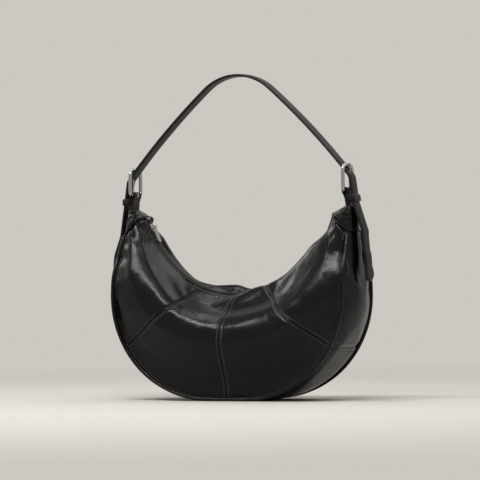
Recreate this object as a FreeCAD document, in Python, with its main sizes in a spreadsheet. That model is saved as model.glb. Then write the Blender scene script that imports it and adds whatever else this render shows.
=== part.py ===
"""Half moon shoulder bag in glazed leather.

The bag is a crescent sewn from gores.  A zip follows the concave top edge, a gusset closes the
convex edge between two pipings, and a cap closes each horn.  A strap runs through a buckle on a
leather tab above each horn, with its free end through a keeper.

Frame: +X to the wearer's right seen from the front, +Y to the back, +Z up, millimetres.
The origin is on the floor, under the middle of the bag.
"""
import FreeCAD, Part
import math
import os

import Sketcher

V = FreeCAD.Vector
ORIGIN = V(0, 0, 0)
X_AXIS, Y_AXIS, Z_AXIS = V(1, 0, 0), V(0, 1, 0), V(0, 0, 1)
HALF_TURN_ANGLE = 180.0
HALF_SHARE = 0.5
QUARTER_SHARE = 0.25
SAME_SHARE = 1e-6
STRAP_TIP_SHARE = 0.96

# Driving dimensions, in millimetres and degrees.
SIZES = {
    # Crescent, drawn in the XZ plane.
    "zip_radius": 141.0,
    "zip_bottom_height": 138.0,
    "base_flat": 56.0,
    "side_reach": 23.0,
    "side_radius": 860.0,
    "horn_top_drop": 28.0,
    "horn_tip_out": 16.0,
    "horn_tip_thick": 12.0,
    "horn_tip_half_width": 12.5,
    "horn_tip_corner": 5.5,
    # Section planes: angle at the zip and angle at the piping, from straight down.
    "seam_zip_angle": 21.0,
    "seam_piping_angle": 35.0,
    "waist_zip_angle": 45.0,
    "waist_piping_angle": 52.0,
    "neck_zip_angle": 60.0,
    "neck_piping_angle": 61.5,
    "cap_zip_angle": 75.0,
    "cap_piping_angle": 69.4,
    # Half depth at the piping and at the shoulder of the panel, section by section.
    "middle_piping_depth": 46.0,
    "middle_shoulder_depth": 73.0,
    "middle_shoulder_drop": 36.0,
    "middle_shoulder_radius": 34.0,
    "seam_piping_depth": 47.0,
    "seam_shoulder_depth": 70.0,
    "seam_shoulder_drop": 34.0,
    "seam_shoulder_radius": 33.0,
    "waist_piping_depth": 45.0,
    "waist_shoulder_depth": 56.0,
    "waist_shoulder_drop": 25.0,
    "waist_shoulder_radius": 26.0,
    "neck_piping_depth": 31.0,
    "neck_shoulder_depth": 41.0,
    "neck_shoulder_drop": 13.0,
    "neck_shoulder_radius": 11.0,
    "cap_piping_depth": 19.0,
    "cap_shoulder_depth": 25.0,
    "cap_shoulder_drop": 9.0,
    "cap_shoulder_radius": 7.0,
    # How far the gusset stands out between its pipings.
    "middle_swell": 3.0,
    "seam_swell": 6.0,
    "waist_swell": 10.0,
    "neck_swell": 9.5,
    "cap_swell": 7.0,
    # Leather, piping and lining.
    "leather_thick": 2.0,
    "gusset_thick": 2.2,
    "piping_radius": 2.2,
    "floor_gap": 0.2,
    "seam_gap": 0.4,
    "lining_thick": 0.6,
    "lining_gap": 0.4,
    "lining_margin": 4.0,
    "cap_wall": 2.2,
    "cap_corner": 9.0,
    "cap_overhang": 2.0,
    # Zip.
    "zip_half_angle": 73.0,
    "tooth_pitch": 4.0,
    "tooth_thick": 1.5,
    "tooth_height": 2.4,
    "tooth_reach": 2.8,
    "tooth_part": 0.8,
    "tooth_nose": 0.6,
    "tape_thick": 0.8,
    "tape_width": 3.6,
    "stop_length": 3.0,
    "slider_angle": 68.0,
    "slider_length": 11.0,
    "slider_width": 9.0,
    "slider_plate": 1.3,
    "slider_gap": 0.4,
    "slider_post_length": 3.0,
    "slider_post_width": 1.0,
    "lug_length": 3.6,
    "lug_thick": 1.2,
    "lug_height": 4.2,
    "pin_radius": 0.9,
    "pin_height": 2.6,
    "pull_length": 22.0,
    "pull_width": 7.0,
    "pull_thick": 1.4,
    "pull_barrel_radius": 2.1,
    "pull_barrel_width": 3.6,
    "pull_corner": 2.5,
    "pin_gap": 0.2,
    "lug_gap": 0.3,
    # Strap, buckles, tabs and keepers.
    "strap_width": 20.0,
    "strap_thick": 3.2,
    "strap_rise": 139.0,
    "strap_crown_radius": 70.0,
    "strap_leg_radius": 976.0,
    "strap_bar_angle": 47.0,
    "strap_bar_gap": 0.4,
    "strap_bend_radius": 14.0,
    "strap_lay_radius": 60.0,
    "strap_turn_out": 6.5,
    "strap_keeper_lay": 9.6,
    "strap_keeper_drop": 15.0,
    "strap_cap_out": 8.0,
    "strap_cap_drop": 42.0,
    "strap_side_out": 8.4,
    "strap_side_drop": 28.0,
    "strap_tip_out": 1.5,
    "strap_tip_drop": 34.0,
    "hole_half_width": 2.1,
    "hole_gap": 0.4,
    "hole_play": 2.0,
    "buckle_out": 12.7,
    "buckle_rise": 36.0,
    "buckle_tall": 37.0,
    "buckle_wide": 34.0,
    "buckle_wire": 4.2,
    "buckle_heel_corner": 7.0,
    "buckle_top_corner": 9.6,
    "buckle_round": 2.0,
    "heel_gap": 0.3,
    "prong_thick": 2.0,
    "prong_width": 3.0,
    "prong_lean_gap": 0.3,
    "prong_over": 3.0,
    "prong_slot_gap": 0.6,
    "prong_tip_round": 0.65,
    "tab_leather": 2.2,
    "tab_width": 18.6,
    "tab_pivot_drop": 8.0,
    "tab_tip_radius": 9.2,
    "tab_slot_gap": 1.2,
    "root_pin_radius": 2.0,
    "root_pin_gap": 0.6,
    "keeper_height": 8.5,
    "keeper_wall": 1.6,
    "keeper_drop": 9.3,
    "keeper_gap": 0.5,
    "keeper_round": 1.0,
    # One overrun serves every cut.
    "overrun": 5.0,
}

doc = FreeCAD.newDocument("HalfMoonBag")
sheet = doc.addObject("Spreadsheet::Sheet", "Sizes")
for row, (alias, value) in enumerate(SIZES.items(), start=1):
    sheet.set(f"A{row}", alias)
    sheet.set(f"B{row}", str(value))
    sheet.setAlias(f"B{row}", alias)
doc.recompute()


def size(alias):
    """A driving dimension, read back from the sheet."""
    return float(sheet.get(alias))


sub_parts = []


def keep(obj, label):
    """Give a finished sub-part the name of its file."""
    obj.Label = label
    sub_parts.append(obj)
    return obj


def keep_shape(shape, label):
    """A sub-part whose solid comes straight from lofts."""
    obj = doc.addObject("Part::Feature", label)
    obj.Shape = shape
    return keep(obj, label)


# Crescent geometry in the XZ plane.

ZIP_CENTRE_HEIGHT = size("zip_bottom_height") + size("zip_radius")
PIPING_BASE_HEIGHT = size("piping_radius") + size("floor_gap")
CORNER_X = size("base_flat") / 2
SIDE_X = size("zip_radius") + size("side_reach")
CORNER_RADIUS = SIDE_X - CORNER_X
CORNER_HEIGHT = PIPING_BASE_HEIGHT + CORNER_RADIUS
FLAT_ANGLE = math.degrees(math.atan2(CORNER_X, ZIP_CENTRE_HEIGHT - PIPING_BASE_HEIGHT))
CORNER_ANGLE = math.degrees(math.atan2(SIDE_X, ZIP_CENTRE_HEIGHT - CORNER_HEIGHT))
HORN_TOP_HEIGHT = ZIP_CENTRE_HEIGHT - size("horn_top_drop")
HORN_TIP_X = size("zip_radius") + size("horn_tip_out")
BUCKLE_X = size("zip_radius") + size("buckle_out")
BUCKLE_HEIGHT = HORN_TOP_HEIGHT + size("buckle_rise")
BAR_SPAN = size("buckle_tall") - size("buckle_wire")
HEEL_HEIGHT = BUCKLE_HEIGHT - BAR_SPAN / 2
PIVOT_HEIGHT = HORN_TOP_HEIGHT - size("tab_pivot_drop")
TAB_SLANT = math.degrees(math.atan2(HORN_TIP_X - BUCKLE_X, HEEL_HEIGHT - PIVOT_HEIGHT))
TAB_TURN = FreeCAD.Rotation(Y_AXIS, -TAB_SLANT)
TAB_LENGTH = math.hypot(HORN_TIP_X - BUCKLE_X, HEEL_HEIGHT - PIVOT_HEIGHT)
sheet.set(f"A{len(SIZES) + 1}", "tab_length")
sheet.set(f"B{len(SIZES) + 1}", str(TAB_LENGTH))
sheet.setAlias(f"B{len(SIZES) + 1}", "tab_length")
doc.recompute()


def on_zip(angle):
    """Point of the zip line, as (x, z), at an angle from straight down about the zip's centre."""
    turn = math.radians(angle)
    return size("zip_radius") * math.sin(turn), ZIP_CENTRE_HEIGHT - size("zip_radius") * math.cos(turn)


def ray_to_circle(angle, centre_x, centre_z, radius):
    """Where a ray from the zip's centre leaves a circle, as (x, z)."""
    turn = math.radians(angle)
    dx, dz = math.sin(turn), -math.cos(turn)
    to_x, to_z = centre_x, centre_z - ZIP_CENTRE_HEIGHT
    along = dx * to_x + dz * to_z
    across = to_x * to_x + to_z * to_z - along * along
    reach = along + math.sqrt(radius * radius - across)
    return reach * dx, ZIP_CENTRE_HEIGHT + reach * dz


def on_piping(angle):
    """Point of the piping line and its outward normal, as (x, z, nx, nz)."""
    if angle <= FLAT_ANGLE:
        flat_x = (ZIP_CENTRE_HEIGHT - PIPING_BASE_HEIGHT) * math.tan(math.radians(angle))
        return flat_x, PIPING_BASE_HEIGHT, 0.0, -1.0
    centre_x, radius = CORNER_X, CORNER_RADIUS
    if angle > CORNER_ANGLE:
        centre_x, radius = SIDE_X - size("side_radius"), size("side_radius")
    x, z = ray_to_circle(angle, centre_x, CORNER_HEIGHT, radius)
    return x, z, (x - centre_x) / radius, (z - CORNER_HEIGHT) / radius


SECTION_NAMES = ("middle", "seam", "waist", "neck", "cap")
SECTION_KEYS = ("zip_angle", "piping_depth", "shoulder_depth", "shoulder_drop", "shoulder_radius", "swell")


def named(name, key):
    """One size of one named section; the middle section stands straight down."""
    if name == "middle" and key.endswith("_angle"):
        return 0.0
    return size(f"{name}_{key}")


STATIONS = [named(name, "piping_angle") for name in SECTION_NAMES]


def smooth(values, at):
    """Value at a piping angle, on a curve through the named sections that never swings past them."""
    spans = [later - earlier for earlier, later in zip(STATIONS, STATIONS[1:])]
    rises = [(later - earlier) / span for earlier, later, span in zip(values, values[1:], spans)]
    slopes = [0.0]
    for before, after in zip(rises, rises[1:]):
        slopes.append(2 * before * after / (before + after) if before * after > 0 else 0.0)
    slopes.append(rises[-1])
    index = 0
    while index < len(spans) - 1 and at > STATIONS[index + 1]:
        index += 1
    span = spans[index]
    share = (at - STATIONS[index]) / span
    rest = 1 - share
    return (
        values[index] * rest * rest * (1 + 2 * share)
        + values[index + 1] * share * share * (1 + 2 * rest)
        + span * slopes[index] * share * rest * rest
        - span * slopes[index + 1] * share * share * rest
    )


def section_at(angle):
    """All sizes of the section at one piping angle."""
    section = {key: smooth([named(name, key) for name in SECTION_NAMES], angle) for key in SECTION_KEYS}
    section["piping_angle"] = angle
    return section


def sections_between(start, end, steps):
    """Sections at even piping angles from start to end."""
    return [section_at(start + (end - start) * step / steps) for step in range(steps + 1)]


MIDDLE_STEPS = 6
END_STEPS = 8
MIDDLE = section_at(0.0)
BASE_SECTIONS = sections_between(FLAT_ANGLE, size("seam_piping_angle"), MIDDLE_STEPS)
MIDDLE_SECTIONS = [MIDDLE] + BASE_SECTIONS
END_SECTIONS = sections_between(size("seam_piping_angle"), size("cap_piping_angle"), END_STEPS)

TOOTH_EDGE = size("tooth_part") + size("tooth_reach")
TAPE_EDGE = TOOTH_EDGE + size("tape_width")
PANEL_EDGE = TAPE_EDGE + size("seam_gap")
SEAM_CLEAR = size("piping_radius") + size("seam_gap")


def unit(dx, dy):
    """Unit vector in a section's plane."""
    length = math.hypot(dx, dy)
    return dx / length, dy / length


def panel_wire(section, start_clear, end_clear, depth, thick):
    """Closed strip across one section of the front panel: a flat, a rounded shoulder and a flat.

    depth is how far under the leather's face the strip lies, and thick is its own thickness.
    start_clear and end_clear shorten it at the zip and at the piping.
    """
    zip_x, zip_z = on_zip(section["zip_angle"])
    out_x, out_z, _, _ = on_piping(section["piping_angle"])
    along_x, along_z = unit(out_x - zip_x, out_z - zip_z)
    length = math.hypot(out_x - zip_x, out_z - zip_z)

    def place(point):
        """From (down the section, forwards) to the bag's frame."""
        return V(zip_x + along_x * point[0], -point[1], zip_z + along_z * point[0])

    first = (0.0, PANEL_EDGE)
    knee = (section["shoulder_drop"], section["shoulder_depth"])
    last = (length, section["piping_depth"])
    d1 = unit(knee[0] - first[0], knee[1] - first[1])
    d2 = unit(last[0] - knee[0], last[1] - knee[1])
    n1, n2 = (d1[1], -d1[0]), (d2[1], -d2[0])
    half_turn = math.acos(d1[0] * d2[0] + d1[1] * d2[1]) / 2
    mitre = 1 / (1 + n1[0] * n2[0] + n1[1] * n2[1])
    first = (first[0] + d1[0] * start_clear, first[1] + d1[1] * start_clear)
    last = (last[0] - d2[0] * end_clear, last[1] - d2[1] * end_clear)

    def layer(offset):
        """Start, both ends and the middle of the shoulder's arc, and the end, at one depth."""
        corner = (knee[0] + offset * mitre * (n1[0] + n2[0]), knee[1] + offset * mitre * (n1[1] + n2[1]))
        radius = section["shoulder_radius"] - offset
        tangent = radius * math.tan(half_turn)
        bend_in = (corner[0] - d1[0] * tangent, corner[1] - d1[1] * tangent)
        bend_out = (corner[0] + d2[0] * tangent, corner[1] + d2[1] * tangent)
        inward = unit(n1[0] + n2[0], n1[1] + n2[1])
        reach = radius / math.cos(half_turn) - radius
        crown = (corner[0] + inward[0] * reach, corner[1] + inward[1] * reach)
        start = (first[0] + n1[0] * offset, first[1] + n1[1] * offset)
        end = (last[0] + n2[0] * offset, last[1] + n2[1] * offset)
        return [place(point) for point in (start, bend_in, crown, bend_out, end)]

    face, under = layer(depth), layer(depth + thick)
    return Part.Wire([
        Part.makeLine(face[0], face[1]),
        Part.Arc(face[1], face[2], face[3]).toShape(),
        Part.makeLine(face[3], face[4]),
        Part.makeLine(face[4], under[4]),
        Part.makeLine(under[4], under[3]),
        Part.Arc(under[3], under[2], under[1]).toShape(),
        Part.makeLine(under[1], under[0]),
        Part.makeLine(under[0], face[0]),
    ])


LOFT_DEGREE = 3


def loft(wires):
    """Closed solid through a row of wires."""
    return Part.makeLoft(wires, True, False, False, LOFT_DEGREE)


def flip_x(shape):
    """Mirror to the other horn."""
    return shape.mirror(ORIGIN, X_AXIS)


def flip_y(shape):
    """Mirror to the other face."""
    return shape.mirror(ORIGIN, Y_AXIS)


# Panels: four gores on the front and four on the back.

def panel_gore(sections):
    """One leather gore of the front, on the right."""
    return loft([panel_wire(s, 0.0, SEAM_CLEAR, 0.0, size("leather_thick")) for s in sections])


for gore, sections in (("middle", MIDDLE_SECTIONS), ("end", END_SECTIONS)):
    right = panel_gore(sections)
    keep_shape(right, f"front_right_{gore}_gore")
    keep_shape(flip_x(right), f"front_left_{gore}_gore")
    keep_shape(flip_y(right), f"back_right_{gore}_gore")
    keep_shape(flip_x(flip_y(right)), f"back_left_{gore}_gore")


# Gusset: a base and two sides between the pipings.

def gusset_wire(section, depth, thick, margin):
    """Closed strip across the gusset, an arc that stands out by the section's swell at its middle."""
    x, z, nx, nz = on_piping(section["piping_angle"])
    half = section["piping_depth"] - margin

    def place(across, out):
        """From (across the gusset, outwards) to the bag's frame."""
        return V(x + nx * out, across, z + nz * out)

    edge, crown = -depth, section["swell"] - depth
    return Part.Wire([
        Part.Arc(place(-half, edge), place(0, crown), place(half, edge)).toShape(),
        Part.makeLine(place(half, edge), place(half, edge - thick)),
        Part.Arc(place(half, edge - thick), place(0, crown - thick), place(-half, edge - thick)).toShape(),
        Part.makeLine(place(-half, edge - thick), place(-half, edge)),
    ])


def gusset_strip(sections, depth, thick, margin):
    """Gusset, or its lining, on the right through a row of sections."""
    return loft([gusset_wire(section, depth, thick, margin) for section in sections])


def base_strip(depth, thick, margin):
    """Gusset under the bag: a straight run with a curved run at each end."""
    first = dict(BASE_SECTIONS[0], piping_depth=MIDDLE["piping_depth"], swell=MIDDLE["swell"])
    rim = gusset_wire(first, depth, thick, margin)
    straight = loft([rim, flip_x(rim)])
    curved = gusset_strip([first] + BASE_SECTIONS[1:], depth, thick, margin)
    return straight.fuse([curved, flip_x(curved)])


def above_cap_seam():
    """Everything above the seam of the right horn cap, a slanted plane through the zip and the piping."""
    zip_x, zip_z = on_zip(size("cap_zip_angle"))
    out_x, out_z, _, _ = on_piping(size("cap_piping_angle"))
    reach = size("zip_radius")
    slant = math.degrees(math.atan2(zip_z - out_z, out_x - zip_x))
    space = Part.makeBox(2 * reach, 2 * reach, reach, V(-reach, -reach, 0))
    space.Placement = FreeCAD.Placement(V(zip_x, 0, zip_z), FreeCAD.Rotation(Y_AXIS, slant))
    return space


cap_space = above_cap_seam()
under_floor = Part.makeBox(
    2 * SIDE_X, 2 * SIDE_X, size("overrun"), V(-SIDE_X, -SIDE_X, -size("overrun")))
gusset_base = base_strip(0.0, size("gusset_thick"), SEAM_CLEAR).cut(under_floor)
keep_shape(gusset_base.Solids[0], "gusset_base")
gusset_side = gusset_strip(END_SECTIONS, 0.0, size("gusset_thick"), SEAM_CLEAR).cut(cap_space).Solids[0]
keep_shape(gusset_side, "gusset_right")
keep_shape(flip_x(gusset_side), "gusset_left")


# Piping: a leather-covered cord along each edge of the gusset.

def piping_ring(section):
    """Circle across the front piping at one section."""
    x, z, nx, nz = on_piping(section["piping_angle"])
    return Part.Wire(Part.makeCircle(
        size("piping_radius"), V(x, -section["piping_depth"], z), V(-nz, 0, nx)))


flat_end = dict(BASE_SECTIONS[0], piping_depth=MIDDLE["piping_depth"])
piping_sections = [flat_end] + BASE_SECTIONS[1:] + END_SECTIONS[1:]
piping_run = loft([piping_ring(s) for s in piping_sections]).cut(cap_space).Solids[0]
piping_flat = Part.makeCylinder(
    size("piping_radius"), size("base_flat"),
    V(-CORNER_X, -MIDDLE["piping_depth"], PIPING_BASE_HEIGHT), X_AXIS)
piping = piping_flat.fuse([piping_run, flip_x(piping_run)])
keep_shape(piping.Solids[0], "front_piping")
keep_shape(flip_y(piping.Solids[0]), "back_piping")


# Lining: a cloth bag hung inside the leather one.

LINING_DEPTH = size("leather_thick") + size("lining_gap")


def lining_panel(sections):
    """Lining behind the front panel, on the right."""
    margin = size("lining_margin")
    return loft([
        panel_wire(s, margin, margin + SEAM_CLEAR, LINING_DEPTH, size("lining_thick")) for s in sections])


lining_right = lining_panel(MIDDLE_SECTIONS).fuse(lining_panel(END_SECTIONS))
lining_front = lining_right.fuse(flip_x(lining_right))
keep_shape(lining_front.Solids[0], "lining_front")
keep_shape(flip_y(lining_front.Solids[0]), "lining_back")

GUSSET_LINING_DEPTH = size("gusset_thick") + size("lining_gap")
gusset_lining_margin = SEAM_CLEAR + size("lining_margin")
lining_base = base_strip(GUSSET_LINING_DEPTH, size("lining_thick"), gusset_lining_margin)
lining_side = gusset_strip(
    END_SECTIONS, GUSSET_LINING_DEPTH, size("lining_thick"), gusset_lining_margin).cut(cap_space).Solids[0]
lining_gusset = lining_base.fuse([lining_side, flip_x(lining_side)])
keep_shape(lining_gusset.Solids[0], "lining_gusset")


# Horn caps: a sleeve of leather over each horn, open at the top for the tab.

def cap_wire(inner, outer, half_width, corner, shrink):
    """Rounded rectangle across a horn, between an inner and an outer point of the XZ plane."""
    ux, uz = unit(outer[0] - inner[0], outer[1] - inner[1])
    length = math.hypot(outer[0] - inner[0], outer[1] - inner[1])
    low, high = shrink, length - shrink
    side = half_width - shrink
    radius = corner - shrink * HALF_SHARE

    def place(along, across):
        """From (across the horn's thickness, along its width) to the bag's frame."""
        return V(inner[0] + ux * along, across, inner[1] + uz * along)

    bend = radius * (1 - math.sqrt(HALF_SHARE))
    edges = []
    corners = [(low, -side, 1, 1), (high, -side, -1, 1), (high, side, -1, -1), (low, side, 1, -1)]
    arcs = []
    for along, across, su, sv in corners:
        by_length = (along + su * radius, across)
        by_width = (along, across + sv * radius)
        crown = (along + su * bend, across + sv * bend)
        ends = (by_width, by_length) if su * sv > 0 else (by_length, by_width)
        arcs.append((place(*ends[0]), place(*crown), place(*ends[1])))
    for index, arc in enumerate(arcs):
        following = arcs[(index + 1) % len(arcs)]
        edges.append(Part.Arc(*arc).toShape())
        edges.append(Part.makeLine(arc[2], following[0]))
    return Part.Wire(edges)


def cap_ends(lift):
    """Inner and outer points of the cap's rim and of its tip, with the rim lifted off the seam."""
    zip_x, zip_z = on_zip(size("cap_zip_angle"))
    out_x, out_z, nx, nz = on_piping(size("cap_piping_angle"))
    ux, uz = unit(out_x - zip_x, out_z - zip_z)
    over = size("cap_overhang")
    rise_x, rise_z = -uz * lift, ux * lift
    rim_in = (zip_x - ux * over + rise_x, zip_z - uz * over + rise_z)
    rim_out = (
        out_x + ux * size("cap_swell") + rise_x,
        out_z + uz * size("cap_swell") + rise_z,
    )
    tip_in = (HORN_TIP_X - size("horn_tip_thick") / 2, HORN_TOP_HEIGHT)
    tip_out = (HORN_TIP_X + size("horn_tip_thick") / 2, HORN_TOP_HEIGHT)
    return rim_in, rim_out, tip_in, tip_out


def horn_cap():
    """Sleeve on the right horn, slotted so that the tab can swing on a pin between its walls."""
    rim_in, rim_out, tip_in, tip_out = cap_ends(size("seam_gap"))
    rim_width = size("cap_shoulder_depth")

    def skin(shrink):
        """Loft from the rim to the tip, taken in by shrink."""
        return loft([
            cap_wire(rim_in, rim_out, rim_width, size("cap_corner"), shrink),
            cap_wire(tip_in, tip_out, size("horn_tip_half_width"), size("horn_tip_corner"), shrink),
        ])

    slot_thick = 2 * (size("tab_leather") + size("tab_slot_gap"))
    below_pivot = size("tab_width") / 2 + size("tab_slot_gap")
    slot = Part.makeBox(
        slot_thick, 2 * rim_width + size("overrun"), below_pivot + size("tab_pivot_drop") + size("overrun"),
        V(-slot_thick / 2, -rim_width - size("overrun") / 2, -below_pivot))
    slot.Placement = FreeCAD.Placement(V(HORN_TIP_X, 0, PIVOT_HEIGHT), TAB_TURN)
    pin_start = V(HORN_TIP_X - rim_width, 0, PIVOT_HEIGHT)
    pin = Part.makeCylinder(size("root_pin_radius"), 2 * rim_width, pin_start, X_AXIS).common(skin(0.0))
    return skin(0.0).cut(skin(size("cap_wall"))).cut(slot).fuse(pin)


cap_right = horn_cap().Solids[0]
keep_shape(cap_right, "horn_cap_right")
keep_shape(flip_x(cap_right), "horn_cap_left")


# Zip: two tapes, two rows of teeth and a stop at each end, all turned about the zip's centre.

ZIP_CENTRE = V(0, 0, ZIP_CENTRE_HEIGHT)
TAPE_OVER_ANGLE = math.degrees((size("stop_length") + size("seam_gap")) / size("zip_radius"))


def turned(angle):
    """Placement that carries a piece from the foot of the zip to an angle along it."""
    x, z = on_zip(angle)
    return FreeCAD.Placement(V(x, 0, z), FreeCAD.Rotation(Y_AXIS, -angle))


def new_body(label):
    """Empty body, kept as a sub-part."""
    return keep(doc.addObject("PartDesign::Body", label), label)


def origin_plane(body, role):
    """One of a body's own origin planes or axes."""
    return next(item for item in body.Origin.OriginFeatures if item.Role == role)


def new_sketch(body, plane, shift):
    """Sketch on an origin plane, shifted by named expressions along x, y and z of the plane."""
    sketch = body.newObject("Sketcher::SketchObject", "Sketch")
    sketch.AttachmentSupport = (origin_plane(body, plane), [""])
    sketch.MapMode = "FlatFace"
    for axis, expression in shift.items():
        sketch.setExpression(f"AttachmentOffset.Base.{axis}", expression)
    return sketch


def add_rectangle(sketch, wide, tall):
    """Rectangle centred on the sketch's origin, its two sizes given as expressions."""
    first = sketch.GeometryCount
    start = size("overrun")
    corners = [V(-start, -start, 0), V(start, -start, 0), V(start, start, 0), V(-start, start, 0)]
    for index, corner in enumerate(corners):
        sketch.addGeometry(Part.LineSegment(corner, corners[(index + 1) % len(corners)]))
    for index in range(len(corners)):
        following = first + (index + 1) % len(corners)
        sketch.addConstraint(Sketcher.Constraint("Coincident", first + index, 2, following, 1))
    for index, kind in enumerate(("Horizontal", "Vertical", "Horizontal", "Vertical")):
        sketch.addConstraint(Sketcher.Constraint(kind, first + index))
    sketch.addConstraint(Sketcher.Constraint("Symmetric", first, 1, first + 2, 1, -1, 1))
    across = sketch.addConstraint(Sketcher.Constraint("DistanceX", first, 1, first, 2, 2 * start))
    upward = sketch.addConstraint(Sketcher.Constraint("DistanceY", first + 1, 1, first + 1, 2, 2 * start))
    sketch.setExpression(f"Constraints[{across}]", wide)
    sketch.setExpression(f"Constraints[{upward}]", tall)


def add_circle(sketch, radius):
    """Circle about the sketch's origin, its radius given as an expression."""
    first = sketch.GeometryCount
    start = size("overrun")
    sketch.addGeometry(Part.Circle(ORIGIN, Z_AXIS, start))
    sketch.addConstraint(Sketcher.Constraint("Coincident", first, 3, -1, 1))
    index = sketch.addConstraint(Sketcher.Constraint("Radius", first, start))
    sketch.setExpression(f"Constraints[{index}]", radius)


def extrude(body, kind, sketch, length, both_ways):
    """Pad or pocket of a sketch by a named length."""
    feature = body.newObject(f"PartDesign::{kind}", kind)
    feature.Profile = sketch
    feature.setExpression("Length", length)
    feature.Midplane = both_ways
    sketch.Visibility = False
    doc.recompute()
    return feature


def block(body, plane, wide, tall, length, shift, kind="Pad"):
    """Rectangular pad or pocket, both ways from a shifted origin plane."""
    sketch = new_sketch(body, plane, shift)
    add_rectangle(sketch, wide, tall)
    return extrude(body, kind, sketch, length, True)


def disc(body, plane, radius, length, shift, kind="Pad"):
    """Round pad or pocket, both ways from a shifted origin plane."""
    sketch = new_sketch(body, plane, shift)
    add_circle(sketch, radius)
    return extrude(body, kind, sketch, length, True)


def round_edges(body, radius, chosen):
    """Fillet on the edges of the body's tip that a test picks out."""
    tip = body.Tip
    names = [f"Edge{index + 1}" for index, edge in enumerate(tip.Shape.Edges) if chosen(edge)]
    fillet = body.newObject("PartDesign::Fillet", "Fillet")
    fillet.Base = (tip, names)
    fillet.setExpression("Radius", radius)
    doc.recompute()
    return fillet


def runs_along(edge, axis):
    """True for a straight edge parallel to an axis."""
    if len(edge.Vertexes) < 2 or not isinstance(edge.Curve, Part.Line):
        return False
    direction = edge.Vertexes[1].Point.sub(edge.Vertexes[0].Point).normalize()
    return abs(abs(direction.dot(axis)) - 1) < SAME_SHARE



def tape(label, side):
    """Woven tape of one row, turned about the zip's centre."""
    body = new_body(label)
    sketch = new_sketch(body, "YZ_Plane", {
        "x": f"{side} * (Sizes.tooth_part + Sizes.tooth_reach + Sizes.tape_width / 2)",
        "y": "-Sizes.zip_radius",
    })
    add_rectangle(sketch, "Sizes.tape_width", "Sizes.tape_thick")
    turn = body.newObject("PartDesign::Revolution", "Revolution")
    turn.Profile = sketch
    turn.ReferenceAxis = (origin_plane(body, "Y_Axis"), [""])
    turn.setExpression(
        "Angle",
        "2 * (Sizes.zip_half_angle + Sizes.stop_length / Sizes.zip_radius * 180 / pi)")
    turn.Midplane = True
    body.Placement = FreeCAD.Placement(ZIP_CENTRE, FreeCAD.Rotation())
    return body


def tooth_row(side, start_share):
    """One row of teeth, each a block with a sloped nose, at a fixed pitch along the zip."""
    pitch_angle = math.degrees(size("tooth_pitch") / size("zip_radius"))
    count = int(size("zip_half_angle") / pitch_angle)
    nose = size("tooth_nose")
    outline = [
        V(0, side * (size("tooth_part") + nose), -size("tooth_height") / 2),
        V(0, side * size("tooth_part"), -nose),
        V(0, side * size("tooth_part"), nose),
        V(0, side * (size("tooth_part") + nose), size("tooth_height") / 2),
        V(0, side * TOOTH_EDGE, size("tooth_height") / 2),
        V(0, side * TOOTH_EDGE, -size("tooth_height") / 2),
    ]
    tooth = Part.Face(Part.makePolygon(outline + outline[:1])).extrude(V(size("tooth_thick"), 0, 0))
    tooth.translate(V(-size("tooth_thick") / 2, 0, 0))
    row = []
    for index in range(-count, count):
        copy = tooth.copy()
        copy.Placement = turned((index + start_share) * pitch_angle).multiply(copy.Placement)
        row.append(copy)
    return Part.makeCompound(row)


for label, side, start_share in (("front", -1, QUARTER_SHARE), ("back", 1, 1 - QUARTER_SHARE)):
    tape(f"zip_tape_{label}", side)
    keep_shape(tooth_row(side, start_share), f"zip_teeth_{label}")

STOP_ANGLE = size("zip_half_angle") + TAPE_OVER_ANGLE / 2
for label, side in (("right", 1), ("left", -1)):
    stop = new_body(f"zip_stop_{label}")
    block(stop, "XY_Plane", "Sizes.stop_length", "2 * (Sizes.tooth_part + Sizes.tooth_reach)",
          "Sizes.tooth_height", {})
    stop.Placement = turned(side * STOP_ANGLE)


# Slider: two plates joined by a post that parts the rows, with lugs and a pin for the pull.

TOP_FACE = "(Sizes.tooth_height / 2 + Sizes.slider_gap + Sizes.slider_plate)"
slider = new_body("zip_slider")
plate_middle = "(Sizes.tooth_height / 2 + Sizes.slider_gap + Sizes.slider_plate / 2)"
block(slider, "XY_Plane", "Sizes.slider_post_length", "Sizes.slider_post_width",
      f"2 * {TOP_FACE}", {"x": "-(Sizes.slider_length - Sizes.slider_post_length) / 2"})
for sign in ("", "-"):
    block(slider, "XY_Plane", "Sizes.slider_length", "Sizes.slider_width", "Sizes.slider_plate",
          {"z": f"{sign}{plate_middle}"})
lug_middle = "(Sizes.pull_barrel_width / 2 + Sizes.lug_gap + Sizes.lug_thick / 2)"
for sign in ("", "-"):
    block(slider, "XY_Plane", "Sizes.lug_length", "Sizes.lug_thick", "Sizes.lug_height",
          {"y": f"{sign}{lug_middle}", "z": f"{TOP_FACE} + Sizes.lug_height / 2"})
disc(slider, "XZ_Plane", "Sizes.pin_radius", f"2 * {lug_middle}",
     {"y": f"{TOP_FACE} + Sizes.pin_height"})
round_edges(slider, "Sizes.slider_plate / 2", lambda edge: runs_along(edge, Z_AXIS)
            and abs(edge.CenterOfMass.x) > size("lug_length")
            and abs(edge.CenterOfMass.y) > size("slider_post_width"))
slider.Placement = turned(-size("slider_angle"))

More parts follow.
